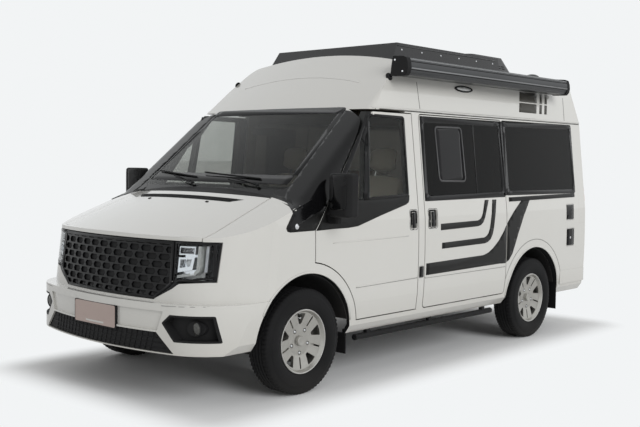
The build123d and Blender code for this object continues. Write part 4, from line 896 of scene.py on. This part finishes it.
for wheel, s, y in (("front_left", 1, 0.0), ("front_right", -1, 0.0), ("rear_left", 1, WHEELBASE),
                    ("rear_right", -1, WHEELBASE)):
    body = "wheel_" + wheel
    metal = dict(body=body, slot="wheel_alloy")
    hub = at(s * TRACK / 2, y, TYRE_R)
    out = Vector((s, 0, 0))
    tyre("tyre_tread_" + wheel, hub, s, body)
    for k in range(5):
        angle = math.radians(54 + 72 * k)
        lathe(f"nut_{wheel}_{k}", [(0.03, 0.0095), (0.046, 0.0095), (0.049, 0.007), (0.05, 0.0)],
              hub + Vector((0, math.cos(angle), math.sin(angle) * s)) * 0.08, out, chrome, steps=6,
              smooth=False, **metal)
    lathe("cap_" + wheel, [(0.056, 0.034), (0.063, 0.034), (0.067, 0.031), (0.0675, 0.024), (0.066, 0.02),
                           (0.0665, 0.0)], hub, out, alloy, steps=40, **metal)
    ring("rim_edge_" + wheel, hub + out * 0.083, out, RIM_R - 0.006, 0.003, alloy_bright, steps=72, **metal)
    angle = math.radians(100)
    foot = hub + out * 0.06 + Vector((0, math.cos(angle), math.sin(angle))) * (RIM_R - 0.026)
    stem = [foot + Vector(p) for p in ((0, 0, 0), (s * 0.01, 0, -0.012), (s * 0.018, 0, -0.026))]
    rod("valve_" + wheel, stem, 0.0035, rubber, body, sides=8)
    # brake disc behind the spokes
    lathe("brake_disc_" + wheel, [(-0.03, 0.052), (-0.022, 0.052), (-0.022, 0.148), (-0.03, 0.15),
                                  (-0.046, 0.15), (-0.048, 0.146), (-0.048, 0.052), (-0.03, 0.052)],
          hub, out, disc_steel, body, slot="chassis_steel", steps=56)

# ---- awning ----
AWNING_FRONT, AWNING_REAR = 1.045, 3.445
CAP_OUT, CAP_IN = 0.03, 0.018
LINE_FRONT, LINE_REAR = AWNING_FRONT + 0.02, AWNING_REAR - 0.02
CAP = [(0.838, 2.16), (0.968, 2.158), (0.988, 2.18), (0.997, 2.215), (0.993, 2.255), (0.981, 2.29),
       (0.955, 2.3), (0.858, 2.307), (0.846, 2.24)]
for name, y, out in (("front", AWNING_FRONT, -1), ("rear", AWNING_REAR, 1)):
    prism("awning_cap_" + name, rounded(CAP, 0.01, 3), "front",
          *sorted((y + out * CAP_OUT, y - out * CAP_IN)), moulded, slot="awning_alloy", bevel=0.005)
    for k, (x, z) in enumerate(((0.88, 2.275), (0.95, 2.19))):
        screw(f"awning_screw_{name}_{k}", at(x, y + out * CAP_OUT, z), (0, out, 0), 0.008, 16,
              "awning_alloy")
# lines along the cassette: the light ones are painted highlights on the ridges, the dark ones painted shade
# in the grooves
for k, (z, width, lift, depth, finish) in enumerate((
        (2.2785, 0.006, 0.004, 0.005, awning_highlight), (2.262, 0.0045, 0.0012, 0.001, joint_and_shade_line),
        (2.213, 0.01, 0.005, 0.006, awning_highlight), (2.204, 0.004, 0.0012, 0.001, joint_and_shade_line),
        (2.18, 0.007, 0.004, 0.005, anodised))):
    laid(f"awning_line_{k}", [strip((LINE_FRONT, z), (LINE_REAR, z), width)], "left", "awning", finish,
         slot="awning_alloy", lift=lift, depth=depth, step=0.4)
# lighter lines along the top: painted highlight
laid("awning_top_lip", [strip((x, LINE_FRONT), (x, LINE_REAR), width) for x, width in ((0.88, 0.012),
     (0.95, 0.008))], "top", "awning", awning_highlight, slot="awning_alloy", lift=0.004, depth=0.005, step=0.4)
for k, y in enumerate((1.3, 2.24, 3.18)):
    prism(f"awning_bracket_{k}", rect(0.806, y - 0.045, 0.862, y + 0.045), "top", 2.296, 2.306, moulded,
          slot="awning_alloy", bevel=0.003)

# ---- roof: unit, dome, skirt, marker lamps ----
ROOF_UNIT = dict(targets="air_unit", material=joint_and_shade_line, slot="unit_plastic")
DOME_AXIS = (0.12, 0, 1)
laid("unit_vents", [pad_shape(x - 0.004, 3.375, x + 0.004, 3.5, 0.003) for x in
                    (i * 0.02 - 0.2 for i in range(21))], "top", lift=0.0001, depth=0.0005, step=0.2,
     **ROOF_UNIT)
lid = pad_shape(-0.215, 3.0, 0.215, 3.34, 0.05)
band("unit_lid_seam", lid, grown(lid, -0.004), "top", lift=0.0001, depth=0.0005, **ROOF_UNIT)
laid("unit_joint", [path_outline([(2.858, 2.404), (3.582, 2.404)], 0.004)], "left", step=0.2, **ROOF_UNIT)
lower, upper = ([pad_shape(y, z, y + 0.052, z + 0.009, 0.003) for y in (i * 0.07 + 2.98 for i in range(7))]
                for z in (2.425, 2.446))
laid("unit_side_slots", lower + upper, "left", step=0.2, **ROOF_UNIT)
laid("unit_side_slots_right", lower, "right", step=0.2, **ROOF_UNIT)
dome_foot = surface_point("top", "roof", 0.56, 3.56)
lathe("roof_dome", [(0.0, 0.075), (0.012, 0.074), (0.03, 0.066), (0.046, 0.048), (0.054, 0.024),
                    (0.056, 0.0)],
      dome_foot - Vector((0, 0, 0.006)), DOME_AXIS, unit_black, slot="unit_plastic", steps=40)
ring("dome_gasket", dome_foot, DOME_AXIS, 0.077, 0.006, moulded, slot="unit_plastic")
for side, s in SIDES:
    laid(f"skirt_line_{side}", [strip((1.35, 2.43), (2.76, 2.43), 0.006)], side, "roof_skirt", anodised,
         slot="skirt_alloy", lift=0.003, depth=0.004, step=0.3)
    for k in range(6):
        screw(f"skirt_screw_{side}_{k}", surface_point(side, "roof_skirt", 1.4 + k * 0.262, 2.4),
              (s, 0, 0.3), 0.007, 14, "skirt_alloy")
    marker = dict(centre=surface_point(side, "roof", 1.034, 2.158), axis=(s, -0.15, 0.37), steps=32)
    lathe(f"marker_foot_{side}", [(-0.006, 0.03), (0.002, 0.03), (0.006, 0.026), (0.006, 0.0)],
          material=moulded, **marker)
    lathe(f"marker_lamp_{side}", [(0.004, 0.022), (0.012, 0.02), (0.017, 0.012), (0.018, 0.0)],
          material=smoked, slot="lamp_glass", **marker)
    oval, inner = (arc(1.992, 2.128, wide, high, [i * 360 / 32 for i in range(32)])
                   for wide, high in ((0.126, 0.026), (0.104, 0.016)))
    band(f"side_lamp_rim_{side}", oval, inner, side, "roof", moulded, lift=0.01, depth=0.012)
    laid(f"side_lamp_glass_{side}", [inner], side, "roof", lens_milky, slot="lamp_glass", lift=0.007,
         depth=0.008)
laid("front_roof_crease", [path_outline([(0.62 * t, 0.965 - 0.03 * t * t) for t in
                                         (i / 6 - 1 for i in range(13))], 0.006)], "top", "roof", paint,
     slot="paint", lift=0.002, depth=0.003)

# ---- rear ----
SPARE = at(0.52, 3.87, 0.99)
COVER = dict(axis=AFT, body="rear_door_left", slot="cover_vinyl")
ring("cover_piping", SPARE + Vector((0, 0.187, 0)), radius=0.362, thick=0.004, material=vinyl_gloss,
     steps=96, **COVER)
lathe("cover_face", [(0.2346, 0.305), (0.2349, 0.3), (0.2349, 0.0)], SPARE, material=vinyl_gloss, steps=72,
      **COVER)
ring("cover_seam", SPARE + Vector((0, 0.2322, 0)), radius=0.303, thick=0.0026, material=vinyl, steps=96,
     **COVER)
ring("cover_hem", SPARE + Vector((0, 0.02, 0)), radius=0.3625, thick=0.0045, material=vinyl, steps=96,
     **COVER)
for side, s in SIDES:
    door = f"rear_door_{side}"
    for name, corners, radius, node, finish in (
        ("brake_lamp", (0.918, 1.3, 0.972, 1.44), 0.01, "tail_lamps", red_lens),
        ("turn_lamp", (0.92, 1.18, 0.974, 1.29), 0.01, "tail_lamps", amber_lens),
        ("reverse_lamp", (0.922, 1.09, 0.976, 1.17), 0.01, "tail_lamps", lens_milky),
        ("fog_lamp_rear", (0.924, 0.992, 0.976, 1.08), 0.01, "tail_lamps", red_lens),
        ("rear_reflector", (0.7, 0.48, 0.86, 0.51), 0.008, "rear_bumper", red_lens),
    ):
        laid(f"{name}_{side}", [sided(pad_shape(*corners, radius), s)], "rear", node, finish,
             slot="lamp_glass", lift=0.003, depth=0.004)
    swage("rear", side, s, (0.03, 0.72, 0.868, 0.72), "rear", door, door)
for k, y in enumerate((3.893, 3.915, 3.937)):
    laid(f"step_rib_{k}", [strip((-0.56, y), (0.56, y), 0.008)], "top", "rear_bumper", moulded, lift=0.004,
         depth=0.005, step=0.2)
door = "rear_door_right"
prism("plate_rear", pad_shape(-0.55, 0.752, -0.11, 0.892, 0.012), "front", 3.8785, 3.88, plate_blank, door,
      slot="paint")
prism("plate_back", pad_shape(-0.56, 0.744, -0.1, 0.9, 0.012), "front", 3.87, 3.8784, moulded, door)
band("rear_handle_rim", pad_shape(-0.178, 1.002, -0.052, 1.108, 0.018),
     pad_shape(-0.168, 1.012, -0.062, 1.098, 0.012), "rear", door, satin_black, door, lift=0.002,
     depth=0.003)
laid("rear_handle_pull", [pad_shape(-0.166, 1.044, -0.064, 1.07, 0.01)], "rear", door, gloss_black, door,
     lift=0.003, depth=0.005)
prism("high_brake_lamp", pad_shape(-0.12, 2.225, 0.12, 2.255, 0.01), "front", 3.866, 3.88, red_lens,
      slot="lamp_glass", bevel=0.003)

# ---- seats ----
SEAT_X = 0.48
CUSHION = [(0.79, 0.806), (1.0, 0.796), (1.215, 0.8), (1.215, 0.9), (1.16, 0.935), (0.98, 0.918),
           (0.86, 0.93), (0.8, 0.915), (0.778, 0.86)]
BACK = [(1.195, 0.955), (1.225, 0.86), (1.265, 0.87), (1.33, 1.08), (1.4, 1.3), (1.41, 1.405), (1.385, 1.43),
        (1.335, 1.43), (1.305, 1.36), (1.25, 1.15)]
HEAD = [(1.362, 1.462), (1.408, 1.446), (1.425, 1.48), (1.446, 1.6), (1.44, 1.636), (1.396, 1.644),
        (1.376, 1.61), (1.358, 1.5)]
SHIELD = rounded([(0.8, 0.792), (1.23, 0.792), (1.262, 0.862), (1.2, 0.88), (0.83, 0.862)], 0.02, 3)
CLOTH_FRAMES = 16


def side_section(x_low, x_high, outline, crown, rows=7):
    """A body with the side outline, bulging outwards and rounded between its two side faces."""
    n = len(outline)
    middle = Vector((sum(p[0] for p in outline) / n, sum(p[1] for p in outline) / n))
    verts = []
    for t in (i / (rows - 1) for i in range(rows)):
        share = 1.0 - crown * (1 - math.sin(math.pi * t) ** 0.5)
        for p in map(Vector, outline):
            p = middle + (p - middle) * share
            verts.append(at(between(x_low, x_high, t), p.x, p.y))
    return verts, closed(rows, n)


def evaluated(piece):
    graph = bpy.context.evaluated_depsgraph_get()
    return bpy.data.meshes.new_from_object(piece.evaluated_get(graph))


def puff(name, verts, faces, swell, fill, voxel=0.011):
    """A cushion: the shape remeshed, blown up a little as cloth, held near its shape, then smoothed."""
    piece = bpy.data.objects.new(name, settled(name, verts, faces))
    scene.collection.objects.link(piece)
    remesh = piece.modifiers.new("remesh", "REMESH")
    remesh.mode = "VOXEL"
    remesh.voxel_size = voxel
    cloth_state = piece.modifiers.new("cloth", "CLOTH")
    cloth_state.settings.use_pressure = True
    cloth_state.settings.uniform_pressure_force = 4.0
    cloth_state.settings.effector_weights.gravity = 0.0
    cloth_state.settings.quality = 4
    cloth_state.point_cache.frame_start = 1
    cloth_state.point_cache.frame_end = CLOTH_FRAMES
    for frame_number in range(1, CLOTH_FRAMES + 1):
        scene.frame_set(frame_number)
    blown = evaluated(piece)
    piece.modifiers.remove(cloth_state)
    for v, w in zip(blown.vertices, evaluated(piece).vertices):
        move = v.co - w.co
        if move.length > swell:
            v.co = w.co + move.normalized() * swell
    scene.frame_set(1)
    bpy.data.objects.remove(piece)
    blown.materials.clear()
    piece = finish_piece(name, blown, cloth, "body")
    for polygon in blown.polygons:
        polygon.material_index = 0
    ease = piece.modifiers.new("smooth", "SMOOTH")
    ease.factor = 0.5
    ease.iterations = 4
    return piece


for side, s in SIDES:
    x = SEAT_X * s
    for part, outline, half, crown, swell in (
        ("cushion", CUSHION, 0.238, 0.16, 0.01), ("backrest", BACK, 0.232, 0.14, 0.01),
        ("headrest", HEAD, 0.118, 0.26, 0.008),
    ):
        puff(f"seat_{part}_{side}", *side_section(x - half, x + half, outline, crown), swell, 0.7)
    for k, d in ((1, 0.06), (0, -0.06)):
        rod(f"headrest_post_{side}_{k}", [at(x + d, 1.368, 1.4), at(x + d, 1.392, 1.475)], 0.006, chrome)
    for k, edge in ((1, 1), (0, -1)):
        prism(f"seat_shield_{side}_{k}", SHIELD, "side", x + edge * 0.2385, x + edge * 0.2485, cabin_dark,
              slot="cabin_plastic", bevel=0.003)
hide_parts("seats_front")

# ---- living space ----
MATTRESS = rounded(rect(-0.915, 2.48, 0.915, 3.805), 0.06, 4)
MATTRESS_FOOT, MATTRESS_TOP = 0.908, 1.02
verts = [at(a, b, between(MATTRESS_FOOT, MATTRESS_TOP, t)) for t in (0.0, 0.25, 0.5, 0.75, 1.0)
         for a, b in grown(MATTRESS, -0.02 * (1 - math.sin(math.pi * t) ** 0.5))]
mattress = puff("mattress", verts, closed(5, len(MATTRESS)), 0.006, 0.8, voxel=0.022)
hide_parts("bed")
wood = dict(material=board, slot="cabinet_board", bevel=0.002)
prism("bed_front", rect(-0.848, 2.471, 0.848, 2.479), "top", 0.562, 0.905, **wood)
prism("bed_slats", rect(-0.9, 2.482, 0.9, 3.812), "top", 0.9, 0.907, **wood)
for y in (2.84, 3.2, 3.56):
    band(f"mattress_seam_{round(y * 100)}", rect(-0.9, y - 0.004, 0.9, y + 0.004),
         rect(-0.899, y - 0.001, 0.899, y + 0.001), "top", "bed", cloth_grey, slot="seat_cloth", lift=-0.004)
for k in range(2):
    laid(f"cabinet_door_{k}", [pad_shape(1.82 + k * 0.31, 0.64, 2.11 + k * 0.31, 1.4, 0.012)], "left",
         "cabinet", board_light, slot="cabinet_board", lift=0.01, depth=0.012)
    laid(f"cabinet_knob_{k}", [pad_shape(2.04 + k * 0.1, 1.3, 2.08 + k * 0.1, 1.316, 0.007)], "left",
         "cabinet", chrome, slot="wheel_alloy", lift=0.018, depth=0.008)
laid("worktop", [rect(-0.93, 1.79, -0.462, 2.448)], "top", "cabinet", board_light, slot="cabinet_board",
     lift=0.012, depth=0.014)

# ---- dashboard ----
laid("dash_top_pad", [pad_shape(-0.84, 0.25, 0.84, 0.5, 0.04)], "top", "dashboard", cabin_dark,
     slot="cabin_plastic", lift=0.006, depth=0.008)
for name, outlines, finish, lift, depth in (
    ("dash_screen", [pad_shape(-0.11, 1.15, 0.11, 1.27, 0.012)], gloss_black, 0.01, 0.012),
    ("dash_dials", [pad_shape(0.37, 1.18, 0.6, 1.282, 0.03)], gloss_black, 0.01, 0.012),
    ("dash_vents", [pad_shape(x - 0.06, 1.2, x + 0.06, 1.25, 0.012) for x in (-0.76, -0.2, 0.2, 0.76)],
     joint_and_shade_line, 0.003, 0.004),
    ("glovebox", [pad_shape(-0.7, 1.01, -0.3, 1.12, 0.02)], cabin_mid, 0.006, 0.008),
    ("dash_band", [rect(-0.86, 1.128, 0.86, 1.142)], cabin_light, 0.005, 0.006),
):
    laid(name, outlines, "rear", "dashboard", finish, slot="cabin_plastic", lift=lift, depth=depth)
prism("gear_console", rect(-0.07, 0.53, 0.07, 0.64), "top", 0.9, 1.04, cabin_dark, slot="cabin_plastic",
      bevel=0.012)
rod("gear_lever", [at(0, 0.6, 1.035), at(0, 0.615, 1.085), at(0, 0.62, 1.105)], 0.009, cabin_dark)
lathe("gear_knob", [(-0.022, 0.0), (-0.02, 0.012), (0.0, 0.023), (0.016, 0.019), (0.026, 0.0)],
      at(0, 0.622, 1.122), (0, 0.2, 1), gloss_black, slot="cabin_plastic", steps=28)
prism("mirror_inside", rect(-0.12, 0.548, 0.12, 0.562), "top", 1.715, 1.775, cabin_dark,
      slot="cabin_plastic", bevel=0.006)

# ---- linings of the doors ----
FRONT_CARD = rounded([(0.33, 0.56), (1.09, 0.56), (1.09, 1.225), (0.33, 1.19)], 0.04)
for side, s in SIDES:
    door = f"door_front_{side}"
    for part, outline, finish, lift, depth, slot in (
        ("card", FRONT_CARD, cabin_mid, 0.004, 0.005, "cabin_plastic"),
        ("pocket", pad_shape(0.42, 0.6, 1.04, 0.73, 0.03), cabin_dark, 0.026, 0.028, "cabin_plastic"),
        ("pad", pad_shape(0.48, 0.985, 1.05, 1.12, 0.035), cloth_grey, 0.009, 0.01, "seat_cloth"),
        ("armrest", pad_shape(0.56, 0.9, 1.02, 0.948, 0.02), cabin_dark, 0.032, 0.034, "cabin_plastic"),
        ("opener", pad_shape(0.44, 1.06, 0.54, 1.086, 0.01), dull_chrome, 0.014, 0.012, "wheel_alloy"),
    ):
        laid(f"door_{part}_{side}", [outline], f"in_{side}", door, finish, door, lift=lift, depth=depth,
             slot=slot)
    door = f"rear_door_{side}"
    laid(f"rear_card_{side}", [sided(pad_shape(0.12, 0.6, 0.76, 1.23, 0.05), s)], "in_rear", door, cabin_mid,
         door, slot="cabin_plastic", lift=0.0015, depth=0.002)

# ---- underside ----
for side, s in SIDES:
    x0, x1 = sorted((s * 0.76, s * 0.966))
    prism(f"rear_flap_{side}", rect(x0, 3.371, x1, 3.379), "top", 0.204, 0.468, rubber, slot="tyre_rubber",
          bevel=0.002)

# ---- ground, light ----
ground_mesh = bpy.data.meshes.new("ground")
floor_outline = rect(-FLOOR_REACH, -FLOOR_REACH, FLOOR_REACH, FLOOR_REACH)
ground_mesh.from_pydata([(a, b, 0) for a, b in floor_outline], [], [(0, 1, 2, 3)])
ground = bpy.data.objects.new("ground", ground_mesh)
scene.collection.objects.link(ground)
ground.location.z = -0.0005
floor_paint = surface("studio_floor", FLOOR_TONE, rough=0.95, spread=0.003, scale=0.3, shine=0.0)
tree = floor_paint.node_tree
place = add(tree, "TexCoord").outputs["Object"]
for operation, sockets in (("ABSOLUTE", {}), ("SUBTRACT", {1: SHADE_BOX}), ("MAXIMUM", {1: (0, 0, 0)})):
    place = add(tree, "VectorMath", {0: place, **sockets}, operation=operation).outputs["Vector"]
away = add(tree, "VectorMath", {0: place}, operation="LENGTH").outputs["Value"]
fade = add(tree, "MapRange", {"From Min": SHADE_NEAR, "From Max": SHADE_FAR, "Value": away},
           interpolation_type="SMOOTHSTEP").outputs["Result"]
seen = add(tree, "Math", {0: fade, 1: add(tree, "LightPath").outputs["Is Camera Ray"]}, operation="MULTIPLY")
backdrop = add(tree, "Emission", {"Color": BACKGROUND})
mixed = add(tree, "MixShader", {"Fac": seen.outputs["Value"],
                                1: tree.nodes["Principled BSDF"].outputs["BSDF"],
                                2: backdrop.outputs["Emission"]})
wire(tree, tree.nodes["Material Output"], {"Surface": mixed.outputs["Shader"]})
ground_mesh.materials.append(floor_paint)

world = bpy.data.worlds.new("studio")
scene.world = world
world.use_nodes = True
tree = world.node_tree
tree.nodes.clear()
rays = add(tree, "LightPath").outputs
indirect = add(tree, "Math", {0: rays["Is Glossy Ray"], 1: rays["Is Transmission Ray"]}, operation="MAXIMUM")
seen = add(tree, "Math", {0: rays["Is Camera Ray"], 1: indirect.outputs["Value"]}, operation="MAXIMUM")
shown = add(tree, "Background", {"Color": BACKGROUND, "Strength": 1.0})
lit = add(tree, "Background", {"Color": (1.0, 0.99, 0.975, 1), "Strength": WORLD_LIGHT})
both = add(tree, "MixShader", {"Fac": seen.outputs["Value"], 1: lit.outputs["Background"],
                               2: shown.outputs["Background"]})
add(tree, "OutputWorld", {"Surface": both.outputs["Shader"]})

sun_data = bpy.data.lights.new("soft_sun", "SUN")
sun_data.energy = SUN_LIGHT
sun_data.angle = math.radians(SUN_WIDTH)
sun = bpy.data.objects.new("soft_sun", sun_data)
scene.collection.objects.link(sun)
sun.visible_glossy = False        # its mirror image would burn out the bonnet and the screen from the right
sun.rotation_euler = Vector(SUN_FROM).to_track_quat("Z", "Y").to_euler()

scene.view_settings.view_transform = "Standard"
